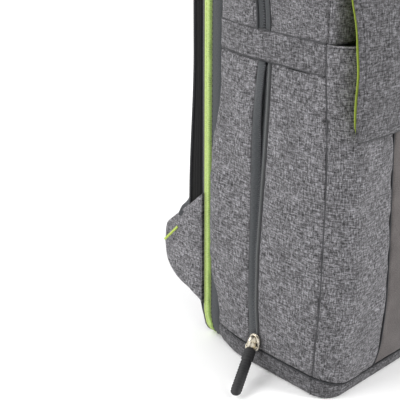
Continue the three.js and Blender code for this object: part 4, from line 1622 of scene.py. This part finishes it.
def middle_fan(points, rim, depth):
    """Adds the middle of a leaf, in rows that run towards the hinge line, and its faces."""
    faces = []
    previous = rim
    pairs = range(len(rim) - 1)
    for share in (0.35, 0.7):
        made = range(len(points), len(points) + len(rim))
        for i in rim:
            p = points[i]
            points.append(flap_point(p.x * (1 - share), p.z + (FLAP_TOP - p.z) * share, depth))
        faces += [(previous[a], previous[a + 1], made[a + 1], made[a]) for a in pairs]
        previous = made
    points.append(flap_point(0, FLAP_TOP, depth))
    return faces + [(previous[a], previous[a + 1], len(points) - 1) for a in pairs]


def flap_leaf(name, rim, near, far, finish, puff=0.0):
    """One layer of the flap between two depths, closed at its rolled edge."""
    points = []
    for shrink, share, push in LEAF_LEVELS:
        depth = near + (far - near) * share
        if share == 1.0:
            depth += puff * min(shrink / 0.25, 1)
        for x, z, nx, nz in rim:
            along = z + nz * push + (FLAP_TOP - z) * shrink
            points.append(flap_point(x + nx * push - x * shrink, along, depth))
    columns = len(rim)
    end = len(points)
    faces = grid_faces(len(LEAF_LEVELS), columns)
    faces += middle_fan(points, range(columns), far + puff)
    faces += middle_fan(points, range(end - columns, end), near)
    return build(name, points, faces, [(p.x, p.z) for p in points], (finish,))


def lining_inset(z):
    """The lining peeps out past the cover's edge only over the lower side."""
    return 0.0040 - 0.0038 * smooth((z - 0.199) / 0.013) + 0.0006 * smooth((z - 0.255) / 0.012)


def flap():
    rim = flap_outline(0.0, 0.0016, lining_inset)
    lining = flap_leaf("flap_lining_cloth", rim, 0.0, 0.0013, "lime_cloth")
    place(lining, "flap", "lime_fabric", "flap_lining")
    rim = flap_outline(0.0007, 0.0002)
    # The flap cover's heather is painted darker, as shade.
    cover = flap_leaf("flap_cover_cloth", rim, 0.0014, 0.0030, "heather_painted_flap_shade", puff=0.0004)
    place(cover, "flap", "heather_fabric", "flap_cover")
    # A dark cord just under the cover's hem: a painted shadow below the flap's bottom edge.
    hem = [flap_point(x, z, 0.0013) - UPWARD * 0.0011 for x, z, _, nz in rim if nz < -0.9]
    piping("flap_hem_painted_shadow", hem, 0.0007, "dark_cord", "flap", "heather_fabric")
    line = [flap_point(x, z, 0.0033) for x, z, _, _ in flap_outline(0.0048, 0.0048)]
    made = stitches("flap_stitch_edge", line, [FORWARD] * len(line), "dark_thread", radius=0.0002)
    place(made, "flap", "heather_fabric")
    _, y, z = JOINTS["flap_hinge"]["pos_m"]
    across = np.linspace(-FLAP_HALF + 0.001, FLAP_HALF - 0.001, 60)
    roll = [(x, y, z) for x in across]
    piping("flap_hinge_roll", roll, 0.0014, "heather", "shell", "heather_fabric", sides=10)
    seam = [(x, y + 0.0021, z - 0.0004) for x in across]
    piping("flap_seam_allowance", seam, 0.0011, "heather", "shell", "heather_fabric", sides=10)


SOCKET_PROFILE = (
    (0.0, 0.0), (0.0, 0.35), (0.5, 0.38), (0.62, 0.62), (0.85, 0.70), (0.8, 0.9), (0.35, 1.0), (-0.2, 1.0),
)
STUD_PROFILE = ((1.0, 0.0), (0.97, 0.3), (0.8, 0.42), (0.45, 0.42), (0.35, 0.8), (0.1, 1.0), (-0.2, 1.0))


def turned(profile, sides, flat=1.0):
    """A round part turned about +X, as points, faces and weave. profile holds places along
    it and radii, and flat squeezes it along Z."""
    points, uvs = [], []
    for x, radius in profile:
        r = max(radius, 1e-5)
        for a in turns(sides):
            points.append(Vector((x, math.cos(a) * r, math.sin(a) * r * flat)))
            uvs.append((x, a * 0.004))
    faces = grid_faces(len(profile), sides, wrap_columns=True) + caps(len(profile), sides)
    return points, faces, uvs


def basis(along, up):
    """A turn whose X runs along a direction and whose Z is as near as can be to up."""
    x = Vector(along).normalized()
    z = (Vector(up) - x * Vector(up).dot(x)).normalized()
    return Matrix((x, z.cross(x), z)).transposed()


def hang(name, part, turn, at, finish, body, slot, *nodes):
    """Places a part that was made at the origin."""
    points, faces, uvs = part
    placed = [turn @ p + Vector(at) for p in points]
    place(build(name, placed, faces, uvs, (finish,)), body, slot, *nodes)


def snaps():
    """A press stud under the flap, and its socket on the pocket."""
    for node, body, profile, facing in (
        ("snap_socket", "shell", SOCKET_PROFILE, FORWARD),
        ("snap_stud", "flap", STUD_PROFILE, BACKWARD),
    ):
        lo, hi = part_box(node)
        radius, depth = (hi.x - lo.x) / 2, hi.y - lo.y
        at = ((lo.x + hi.x) / 2, hi.y if facing == FORWARD else lo.y, (lo.z + hi.z) / 2)
        part = turned([(h * depth, r * radius) for h, r in profile], 32)
        hang(node + "_metal", part, basis(facing, UPWARD), at, "nickel", body, "nickel_hardware", node)


# ---- The back: pads, straps and their hardware ----

PAD_RADIUS = 0.026
PAD_WELT = 0.0045
PAD_GROOVES = (0.30, 0.5, 0.70)
PAD_GRID = (58, 22)


def squircle(u, v, half_x, half_z, radius):
    """Maps a square onto a rectangle with round corners."""
    x, z = u * half_x, v * half_z
    cx, cz = half_x - radius, half_z - radius
    reach = max(abs(u), abs(v))
    if abs(u) > 1e-9 or abs(v) > 1e-9:
        ex, ez = x / reach, z / reach
        ax, az = max(abs(ex) - cx, 0), max(abs(ez) - cz, 0)
        if ax > 0 and az > 0:
            share = radius / math.hypot(ax, az)
            if share < 1:
                ex = math.copysign(cx + ax * share, ex)
                ez = math.copysign(cz + az * share, ez)
        x, z = ex * reach, ez * reach
    return x, z


def rounded_outline(count, half_x, half_z, radius):
    """Points round a rectangle with round corners."""
    made = []
    for a in turns(count):
        u, v = math.cos(a), math.sin(a)
        reach = max(abs(u), abs(v))
        made.append(squircle(u / reach, v / reach, half_x, half_z, radius))
    return made


def back_pad():
    lo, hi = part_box("back_pad_left")
    mid, half, depth = (lo + hi) / 2, (hi - lo) / 2, hi.y - lo.y
    front, back = [], []

    def gap_to_edge(x, z):
        out_x = max(abs(x) - half.x + PAD_RADIUS, 0)
        out_z = max(abs(z) - half.z + PAD_RADIUS, 0)
        if out_x or out_z:
            return max(PAD_RADIUS - math.hypot(out_x, out_z), 0)
        return min(half.x - abs(x), half.z - abs(z))

    for v in np.linspace(-1, 1, PAD_GRID[0]):
        for u in np.linspace(-1, 1, PAD_GRID[1]):
            x, z = squircle(u, v, half.x, half.z, PAD_RADIUS)
            gap = gap_to_edge(x, z)
            rise = smooth(gap / PAD_WELT) * 0.35
            full = smooth((gap - PAD_WELT) / 0.016)
            groove = 0.0
            for level in PAD_GROOVES:
                line = half.z * (2 * level - 1) + 0.006 * math.cos(u * 1.6)
                groove = max(groove, math.exp(-(((z - line) / PAD_WELT) ** 2)))
            share = 0.10 + rise * 0.45 + 0.68 * full * (1 - 0.45 * groove)
            front.append(Vector((mid.x + x, lo.y + depth * share, mid.z + z)))
            back.append(Vector((mid.x + x, lo.y + 0.0001, mid.z + z)))
    points = front + back
    uvs = [(p.x, p.z) for p in points]
    pad = build("back_pad_mesh_left", points, slab_faces(*PAD_GRID), uvs, ("mesh",))
    still = [*range(len(front), len(points)), *border_of(*PAD_GRID)]
    inflate(pad, still, 3.0, 0.0, 0.0022)
    for made in both_sides(refined(pad), "rear_panel", "black_mesh", "back_pad"):
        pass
    outline = rounded_outline(120, half.x - 0.0002, half.z - 0.0002, PAD_RADIUS)
    rim = [Vector((mid.x + x, lo.y + depth * 0.13, mid.z + z)) for x, z in outline]
    binding = tube_piece("back_pad_binding_left", rim, 0.0013, "dark_cord", closed=True)
    both_sides(binding, "rear_panel", "charcoal_tape")


STRAP = (
    (-0.044, 0.1015, 0.375, 0.056), (-0.047, 0.1075, 0.364, 0.058), (-0.052, 0.1120, 0.350, 0.060),
    (-0.059, 0.1180, 0.322, 0.060), (-0.065, 0.1195, 0.290, 0.056), (-0.072, 0.1170, 0.260, 0.050),
    (-0.079, 0.1130, 0.232, 0.046), (-0.087, 0.1085, 0.208, 0.042),
)
STRAP_ACROSS = Vector((1, 0, 0.3)).normalized()
STRAP_THICK = 0.010
STRAP_COUNT = 64
PAD_SECTION = (
    (-1.0, 0.0), (-0.985, 0.25), (-0.94, 0.34), (-0.90, 0.40), (-0.82, 0.74), (-0.6, 0.95), (-0.2, 1.03),
    (0.2, 1.03), (0.6, 0.95), (0.82, 0.74), (0.90, 0.40), (0.94, 0.34), (0.985, 0.25), (1.0, 0.0),
    (0.985, -0.25), (0.94, -0.34), (0.90, -0.42), (0.8, -0.74), (0.5, -0.92), (0.0, -0.97),
    (-0.5, -0.92), (-0.8, -0.74), (-0.90, -0.42), (-0.94, -0.34), (-0.985, -0.25),
)
RIBBON = (
    (-1, 0), (-0.98, 0.8), (-0.9, 1), (0, 1.05), (0.9, 1), (0.98, 0.8),
    (1, 0), (0.98, -0.8), (0.9, -1), (0, -1.05), (-0.9, -1), (-0.98, -0.8),
)


def spline(knots, count):
    """Points along a smooth curve through the knots, which may have any number of values."""
    k = np.array([tuple(p) for p in knots], float)
    chords = lengths_of(k[:, :3])
    out = []
    for t in np.linspace(0, chords[-1], count):
        i = int(clamp(int(np.searchsorted(chords, t)) - 1, 0, len(k) - 2))
        before = k[i - 1] if i else 2 * k[0] - k[1]
        after = k[i + 2] if i + 2 < len(k) else 2 * k[-1] - k[-2]
        share = (t - chords[i]) / (chords[i + 1] - chords[i])
        out.append(hermite(share, k[i], (k[i + 1] - before) / 2, k[i + 1], (after - k[i]) / 2))
    return out


def directions(rows):
    """The way a line runs at each of its points."""
    last = len(rows) - 1
    points = [Vector(row[:3]) for row in rows]
    return [(points[min(i + 1, last)] - points[max(i - 1, 0)]).normalized() for i in range(last + 1)]


def swept(name, stations, section, finish):
    """A section swept along stations of (place, across, outward, width, thickness)."""
    rings = []
    for p, across, out, width, thick in stations:
        rings.append([p + across * (a * width / 2) + out * (b * thick / 2) for a, b in section])
    around = lengths_of([(a * 0.05, b * 0.01) for a, b in section], closed=True)
    return loft(name, rings, lengths_of([s[0] for s in stations]), around, finish)


def strap_stations():
    """The left strap's line, as (place, across, outward, width, along)."""
    rows = spline(STRAP, STRAP_COUNT)
    stations = []
    for row, along in zip(rows, directions(rows)):
        across = (STRAP_ACROSS - along * STRAP_ACROSS.dot(along)).normalized()
        out = across.cross(along).normalized()
        if out.y < 0:
            out = -out
        stations.append((Vector(row[:3]), across, out, row[3], along))
    return stations


def strap_pad(stations, rows):
    """The strap's padded body, with mesh on the side that lies against the panel."""
    pad = swept("shoulder_strap_pad_left", rows, PAD_SECTION, "heather")
    for polygon in pad.data.polygons:
        nearest = min(stations, key=lambda s: abs(s[0].z - polygon.center.z))
        if polygon.center.y < nearest[0].y:
            polygon.material_index = 1
    pad.data.materials.append(FINISH["mesh"])
    made = both_sides(refined(pad), "rear_panel", "heather_fabric", "shoulder_strap")
    return made


def shoulder_strap():
    stations = strap_stations()
    rows = []
    for (p, across, out, width, _), t in zip(stations, np.linspace(0, 1, STRAP_COUNT)):
        ends = min(smooth(t / 0.02 + 0.35), smooth((1 - t) / 0.03 + 0.30))
        bumps = 1 + 0.05 * noise.noise(p * 55)
        taper = 1 - 0.25 * max(t - 0.95, 0) / 0.05
        rows.append((p, across, out, width * taper, STRAP_THICK * ends * bumps))
    made = strap_pad(stations, rows)
    rim = [p - across * (w / 2 + 0.0001) for p, across, _, w, _ in rows]
    rim += [p + across * (w / 2 + 0.0001) for p, across, _, w, _ in reversed(rows)]
    binding = tube_piece("shoulder_strap_binding_left", rim, 0.0017, "dark_cord", closed=True)
    made += both_sides(binding, "rear_panel", "charcoal_tape")
    inner_rows = rows[3:-3]
    facing = [row[2] for row in inner_rows]
    for label, side in (("outer", -0.86), ("inner", 0.86)):
        lift = STRAP_THICK / 2 * 0.56
        line = [p + across * (side * w / 2) + out * lift for p, across, out, w, _ in inner_rows]
        row = stitches("strap_stitch_%s_left" % label, line, facing, "thread")
        made += both_sides(row, "rear_panel", "heather_fabric")
    lift = STRAP_THICK / 2 + 0.0009
    web = [(p + out * lift, across, out, 0.020, 0.0014) for p, across, out, _, _ in stations[26:-1]]
    strip = swept("strap_daisy_webbing_left", web, RIBBON, "black_webbing")
    return made + both_sides(strip, "rear_panel", "webbing")


def strap_root():
    """The cloth patch where each strap leaves the rear panel."""
    p, _, out, width, _ = strap_stations()[0]
    top = Vector((p.x, COVER_Y + 0.001, p.z + 0.012))
    face = Vector((0, 1, 0.15)).normalized()
    stations = []
    for t in np.linspace(0, 1, 8):
        q = top.lerp(p - out * 0.001, t)
        q.y += 0.002 * math.sin(t * math.pi)
        stations.append((q, RIGHTWARD, face, width * (0.96 + 0.04 * t), 0.003))
    patch = swept("strap_root_left", stations, RIBBON, "heather")
    return both_sides(patch, "rear_panel", "heather_fabric")


LADDER_AT = Vector((-0.0955, 0.1040, 0.1905))
LADDER_TURN = Matrix.Rotation(-0.42, 3, "Y") @ Matrix.Rotation(0.16, 3, "X")
LADDER_ACROSS, LADDER_OUT, LADDER_ALONG = (LADDER_TURN @ v for v in (RIGHTWARD, BACKWARD, UPWARD))
LADDER_WIDTH = 0.034
LADDER_LENGTH = 0.026
LADDER_THICK = 0.004
LADDER_BARS = ((0.30, 0.0012, 0.0018), (-0.28, 0.0016, 0.0016))


def ladder_lock():
    """A moulded ladder lock, a rounded rim with two cross bars, and the webbing it hangs on."""
    half_w, half_l = (LADDER_WIDTH - LADDER_THICK) / 2, LADDER_LENGTH / 2
    outline = rounded_outline(48, half_w, half_l - LADDER_THICK / 2, LADDER_LENGTH * 0.16)
    rim = [LADDER_AT + LADDER_ACROSS * x + LADDER_ALONG * z for x, z in outline]
    parts = [tube(rim, LADDER_THICK / 2, sides=10, closed=True)]
    for share, lift, size in LADDER_BARS:
        middle = LADDER_AT + LADDER_ALONG * (share * half_l)
        line = []
        for t in np.linspace(-1, 1, 9):
            line.append(middle + LADDER_ACROSS * (t * half_w) + LADDER_OUT * lift * math.cos(t * 1.3))
        parts.append(tube(line, size, sides=10))
    lock = build("ladder_lock_body_left", *joined(parts), ("plastic",))
    made = both_sides(lock, "rear_panel", "buckle_plastic", "ladder_lock")
    p, across, _, _, along = strap_stations()[-1]
    start, end = p - along * 0.006, LADDER_AT + LADDER_ALONG * LADDER_LENGTH * 0.36
    loop = []
    for t in np.linspace(0, 1, 12):
        side = across.lerp(LADDER_ACROSS, t).normalized()
        loop.append((start.lerp(end, t), side, LADDER_OUT, 0.025, 0.0018))
    hold = swept("ladder_hold_left", loop, RIBBON, "black_webbing")
    return made + both_sides(hold, "rear_panel", "webbing")


def adjuster_webbing():
    """Webbing from the ladder lock down and forward to the wing, turning edge on to it."""
    knots = []
    for along, out in ((0.004, -0.0020), (-0.006, 0.0026), (-0.014, 0.0004)):
        knots.append(LADDER_AT + LADDER_ALONG * along + LADDER_OUT * out)
    knots += [
        (-0.1035, 0.1030, 0.1720), (-0.1150, 0.1010, 0.1400), (-0.1255, 0.0965, 0.1160),
        (-0.1330, 0.0925, 0.1010), (-0.1372, 0.0920, 0.0930),
    ]
    rows = spline(knots, 56)
    stations = []
    for row, along, t in zip(rows, directions(rows), np.linspace(0, 1, len(rows))):
        guide = LADDER_ACROSS.lerp(Vector((0.66, 0.75, 0.05)), smooth((t - 0.18) / 0.22))
        guide = guide.lerp(Vector((0.0, 0.74, 0.67)), smooth((t - 0.82) / 0.16))
        side = (guide - along * guide.dot(along)).normalized()
        width = 0.019 - 0.004 * smooth((t - 0.5) / 0.4)
        stations.append((Vector(row), side, side.cross(along).normalized(), width, 0.0015))
    web = swept("adjuster_webbing_left", stations, RIBBON, "webbing")
    return both_sides(web, "rear_panel", "webbing", "strap_webbing")


WING_OUTER = (
    (0.0722, 0.1202), (0.0764, 0.1163), (0.0820, 0.1104), (0.0877, 0.1040), (0.0955, 0.0925),
    (0.1000, 0.0830), (0.0990, 0.0600), (0.0900, 0.0400), (0.0722, 0.0262),
)
WING_INNER = (
    (0.0722, 0.1200), (0.0885, 0.1062), (0.0985, 0.0974), (0.1070, 0.0897), (0.1146, 0.0826),
    (0.1168, 0.0778), (0.1180, 0.0678), (0.1178, 0.0613), (0.1142, 0.0488), (0.1026, 0.0380),
    (0.0860, 0.0318), (0.0722, 0.0250),
)
WING_TACK = (Vector((0, 0.0976, 0.0848)), Vector((0, 0.1128, 0.0690)))
WING_SEAM_Y = GUSSET_Y[0] + 0.0012
WING_X = -RING_HALF - 0.0012


def wing_outer_x(y, z):
    wave = 0.0006 * math.sin(z * 90 + y * 60)
    return WING_X - 0.0008 - (0.0014 + wave) * smooth((y - WING_SEAM_Y) / 0.012)


def wing_inner_x(y, z):
    wave = 0.0007 * math.sin(z * 70 + y * 40 + 1)
    return WING_X + 0.0002 + (0.0006 - wave) * smooth((y - WING_SEAM_Y) / 0.012)


def wing_layer(name, edge, x_at, thick, rows=14):
    """A layer of cloth between the wing's seam and an outer edge line of (y, z)."""
    edge_line = spline([(y, z, 0) for y, z in edge], 34)
    points = []
    for side in (1, -1):
        for share in 1 - (1 - np.linspace(0, 1, rows)) ** 1.6:
            for edge_y, z, _ in edge_line:
                y = WING_SEAM_Y + (edge_y - WING_SEAM_Y) * share
                gap = (1 - share) * abs(edge_y - WING_SEAM_Y)
                half = thick / 2 * math.sqrt(min(1, gap / 0.0012 + 0.04))
                points.append(Vector((x_at(y, z) - side * half, y, z)))
    uvs = [(p.y, p.z) for p in points]
    # The wing's heather is painted lighter than the sides, as light falling on it.
    return build(name, points, slab_faces(rows, len(edge_line)), uvs, ("heather_painted_wing_light",))


def bar_tack():
    """Short stitches side by side across a line on the wing."""
    a, b = WING_TACK
    direction = (b - a).normalized()
    side = Vector((0, direction.z, -direction.y))
    count = 30
    parts = []
    for i in range(count + 1):
        q = a.lerp(b, i / count)
        q.x = wing_outer_x(q.y, q.z) - 0.0014
        q += side * (0.0001 if i % 2 else -0.0001)
        middle = q - RIGHTWARD * 0.0005
        parts.append(tube([q - side * 0.0008, middle, q + side * 0.0008], 0.0004, sides=6))
    return build("wing_bar_tack_left", *joined(parts), ("lime_thread",))


def wing():
    outer = wing_layer("strap_wing_outer_left", WING_OUTER, wing_outer_x, 0.0022)
    made = both_sides(outer, "rear_panel", "heather_fabric", "strap_wing")
    inner = wing_layer("strap_wing_inner_left", WING_INNER, wing_inner_x, 0.0020)
    made += both_sides(inner, "rear_panel", "heather_fabric")
    return made + both_sides(bar_tack(), "rear_panel", "lime_fabric")


# ---- The handle ----

HANDLE_END_X = 0.045


def handle_grip(y, surface_z, top_z, low_z):
    """The padded roll, which flattens towards its sewn ends. Returns its stations too."""
    rise = top_z - 0.004
    knots = [
        (-HANDLE_END_X - 0.018, y, surface_z + 0.0008), (-HANDLE_END_X - 0.008, y, surface_z + 0.0012),
        (-HANDLE_END_X - 0.0005, y, surface_z + 0.004), (-HANDLE_END_X + 0.002, y, low_z + 0.008),
        (-0.037, y, rise - 0.008), (-0.020, y, rise - 0.0005), (0, y, rise + 0.0005),
    ]
    knots += [(-x, y, z) for x, _, z in reversed(knots[:-1])]
    rows = spline(knots, 90)
    stations = []
    for row, along, t in zip(rows, directions(rows), np.linspace(-1, 1, len(rows))):
        face = BACKWARD.cross(along).normalized()
        if face.z < 0:
            face = -face
        flat = smooth((abs(t) - 0.62) / 0.22)
        width, thick = 0.0125 + 0.0085 * flat, 0.0088 - 0.0062 * flat
        stations.append((Vector(row), BACKWARD, face, width, thick))
    roll = [(math.cos(a), math.sin(a)) for a in turns(18)]
    return refined(swept("handle_grip", stations, roll, "heather")), stations


def handle():
    lo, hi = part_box("top_handle")
    y = (lo.y + hi.y) / 2
    surface_z = TOP_Z - lean(y) + 0.0008
    grip, stations = handle_grip(y, surface_z, hi.z, lo.z)
    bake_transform(grip)
    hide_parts("top_handle")
    free = stations[18:-18]
    line = [p - face * (thick / 2 - 0.0001) for p, _, face, _, thick in free]
    seam = stitches("handle_seam_stitch", line, [-s[2] for s in free], "dark_thread")
    place(seam, "handle", "heather_fabric")
    half = 0.008
    for label, sign in (("left", -1), ("right", 1)):
        x0, x1 = sign * (HANDLE_END_X + 0.017), sign * (HANDLE_END_X + 0.004)
        corners = [(x0, -half), (x1, -half), (x1, half), (x0, half), (x0, -half), (x1, half)]
        corners = [Vector((x, y + side, surface_z + 0.0024)) for x, side in corners]
        box = []
        for a, b in zip(corners, corners[1:]):
            box += [a.lerp(b, t) for t in np.linspace(0, 0.98, 9)]
        row = stitches("handle_box_stitch_" + label, box, [UPWARD] * len(box), "thread")
        place(row, "shell", "heather_fabric")


# ---- Zip sliders and their pulls ----

SLIDER_LENGTH = 0.013
SLIDER_WIDTH = 0.0094
SLIDER_HEIGHT = 0.0082
SLIDER_PLATE = 0.0011
SLIDER_MOUTH = 0.0026
PLATE_LEVELS = (
    (0, 0.90), (0.22, 0.985), (0.55, 1.0), (0.85, 0.96), (1.0, 0.84), (1.06, 0.55), (1.08, 0.2),
)


def slider_plate(base_z, thick, grow):
    """One plate of a slider, narrower at its front, with rounded edges."""
    outline = []
    for x, y in rounded_outline(36, SLIDER_WIDTH / 2, SLIDER_LENGTH / 2, 0.0032):
        outline.append((x * (1 - 0.16 * smooth((y + SLIDER_LENGTH * 0.1) / (SLIDER_LENGTH * 0.6))), y))
    points = []
    for share, size in PLATE_LEVELS:
        for x, y in outline:
            points.append(Vector((x * size * grow, y * size * grow, base_z + thick * share)))
    count = len(PLATE_LEVELS)
    faces = grid_faces(count, len(outline), wrap_columns=True) + caps(count, len(outline))
    return points, faces, outline * count


def slider_mesh():
    """A coil zip slider that runs along +Y with its bail up at +Z, seated on z = 0."""
    parts = [slider_plate(0.0, SLIDER_PLATE, 0.94)]
    parts.append(slider_plate(SLIDER_MOUTH - SLIDER_PLATE, SLIDER_PLATE * 1.15, 1.0))
    for side in (-1, 1):
        x, z = side * SLIDER_WIDTH * 0.40, SLIDER_MOUTH * 0.5
        wall = [(x, y, z) for y in np.linspace(-SLIDER_LENGTH * 0.34, SLIDER_LENGTH * 0.30, 6)]
        parts.append(tube(wall, 0.0011, sides=8))
    rise = SLIDER_HEIGHT - SLIDER_MOUTH - 0.0006
    bail = []
    for t in np.linspace(0, 1, 22):
        z = SLIDER_MOUTH + 0.0001 + rise * math.sin(math.pi * t) ** 0.62
        bail.append((0, -math.cos(math.pi * t) * SLIDER_LENGTH * 0.40, z))
    parts.append(tube(bail, 0.0010, sides=10, flat=1.5))
    return joined(parts)


PULL_LENGTH = 0.046
PULL_FLAT = 0.62
WIRE_REACH = 0.0110
WIDE_RIB = ((0.0, 0.0045), (0.0011, 0.0047), (0.0015, 0.0042), (0.0019, 0.0042))
NARROW_RIB = ((0.0, 0.0041), (0.0012, 0.0042), (0.0016, 0.0037), (0.0020, 0.0037))


def pull_wire():
    """A pull's wire loop, with its eye at the origin. The pull runs along +X."""
    wire = []
    for a in turns(39):
        wire.append((0.0002 + math.cos(a) * WIRE_REACH * 0.5, math.sin(a) * 0.0040, 0))
    return tube(wire, 0.00078, sides=10, closed=True)


def pull_barrel():
    """A pull's rubber barrel: a root, wide ribs, narrow ribs and a rounded tip."""
    profile = [(0.0026, 0.0), (0.0028, 0.0026), (0.0035, 0.0036), (0.0046, 0.0040)]
    x = 0.0053
    while x < 0.0140:
        profile += [(x + step, r) for step, r in WIDE_RIB]
        x += 0.0023
    profile += [(x + 0.0002, 0.0038), (x + 0.0010, 0.0038)]
    x += 0.0014
    while x < PULL_LENGTH - 0.0055:
        profile += [(x + step, r) for step, r in NARROW_RIB]
        x += 0.0024
    tail = profile[-1][0]
    for degrees in (15, 35, 55, 72, 86):
        a = math.radians(degrees)
        profile.append((tail + (PULL_LENGTH - tail) * math.sin(a), 0.0041 * math.cos(a)))
    return turned(profile, 24, PULL_FLAT)


def slider_set(family, side, seat, run, up, eye, tip_way, pull_up):
    """A slider at its seat that runs along a direction, and its pull, which lies along
    tip_way from its eye. side is _left, _right or empty."""
    bodies = [family + kind + side for kind in ("_slider", "_pull")]
    nodes = [family + "_zip" + kind + side for kind in ("_slider", "_pull")]
    label = family + side
    turn = basis(run.cross(up), up)
    hang(label + "_slider_metal", slider_mesh(), turn, seat, "nickel", bodies[0], "nickel_hardware", nodes[0])
    turn = basis(tip_way, pull_up)
    hang(label + "_pull_wire", pull_wire(), turn, eye, "nickel", bodies[1], "nickel_hardware", nodes[1])
    hang(label + "_pull_barrel", pull_barrel(), turn, eye, "rubber", bodies[1], "rubber_pull")


def all_sliders():
    for side, sign in (("_left", -1), ("_right", 1)):
        y = JOINTS["bottle_pull%s_swing" % side]["pos_m"][1] - 0.0020
        eye = Vector((sign * 0.1495, y, 0.0200))
        seat = (sign * 0.1462, y - 0.0010, 0.0230)
        tip = Vector((sign * 0.1885, -0.0128, 0.0036))
        slider_set("bottle", side, seat, UPWARD, RIGHTWARD * sign, eye, tip - eye, UPWARD)
        eye = (sign * 0.0105, MAIN_ZIP_Y, 0.4156)
        seat = (sign * 0.0095, MAIN_ZIP_Y, TOP_Z + 0.0003)
        slider_set("main", side, seat, LEFTWARD * sign, UPWARD, eye, (sign, 0, -0.06), UPWARD)
    y = (low("rear_zip_tape_panel").y + high("rear_zip_tape_shell").y) / 2
    seat, eye = (0.1368, y, 0.1780), (0.1421, y, 0.1750)
    slider_set("rear", "", seat, UPWARD, RIGHTWARD, eye, -UPWARD, RIGHTWARD)


# ---- Putting it together ----


def flatten_with_panel(pieces, anchor_y):
    for piece in pieces:
        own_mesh(piece)


def main():
    set_camera()
    set_lights()
    set_floor()
    side_panels()
    side_seams()
    bottle_zip()
    pouch()
    pocket()
    base()
    upper_body()
    inner_lining()
    rear_zip()
    rear_panel()
    flap()
    snaps()
    back_pad()
    straps = shoulder_strap() + strap_root() + ladder_lock() + adjuster_webbing()
    flatten_with_panel(straps, COVER_Y + 0.001)
    flatten_with_panel(wing(), low("strap_wing_left").y)
    handle()
    all_sliders()


main()
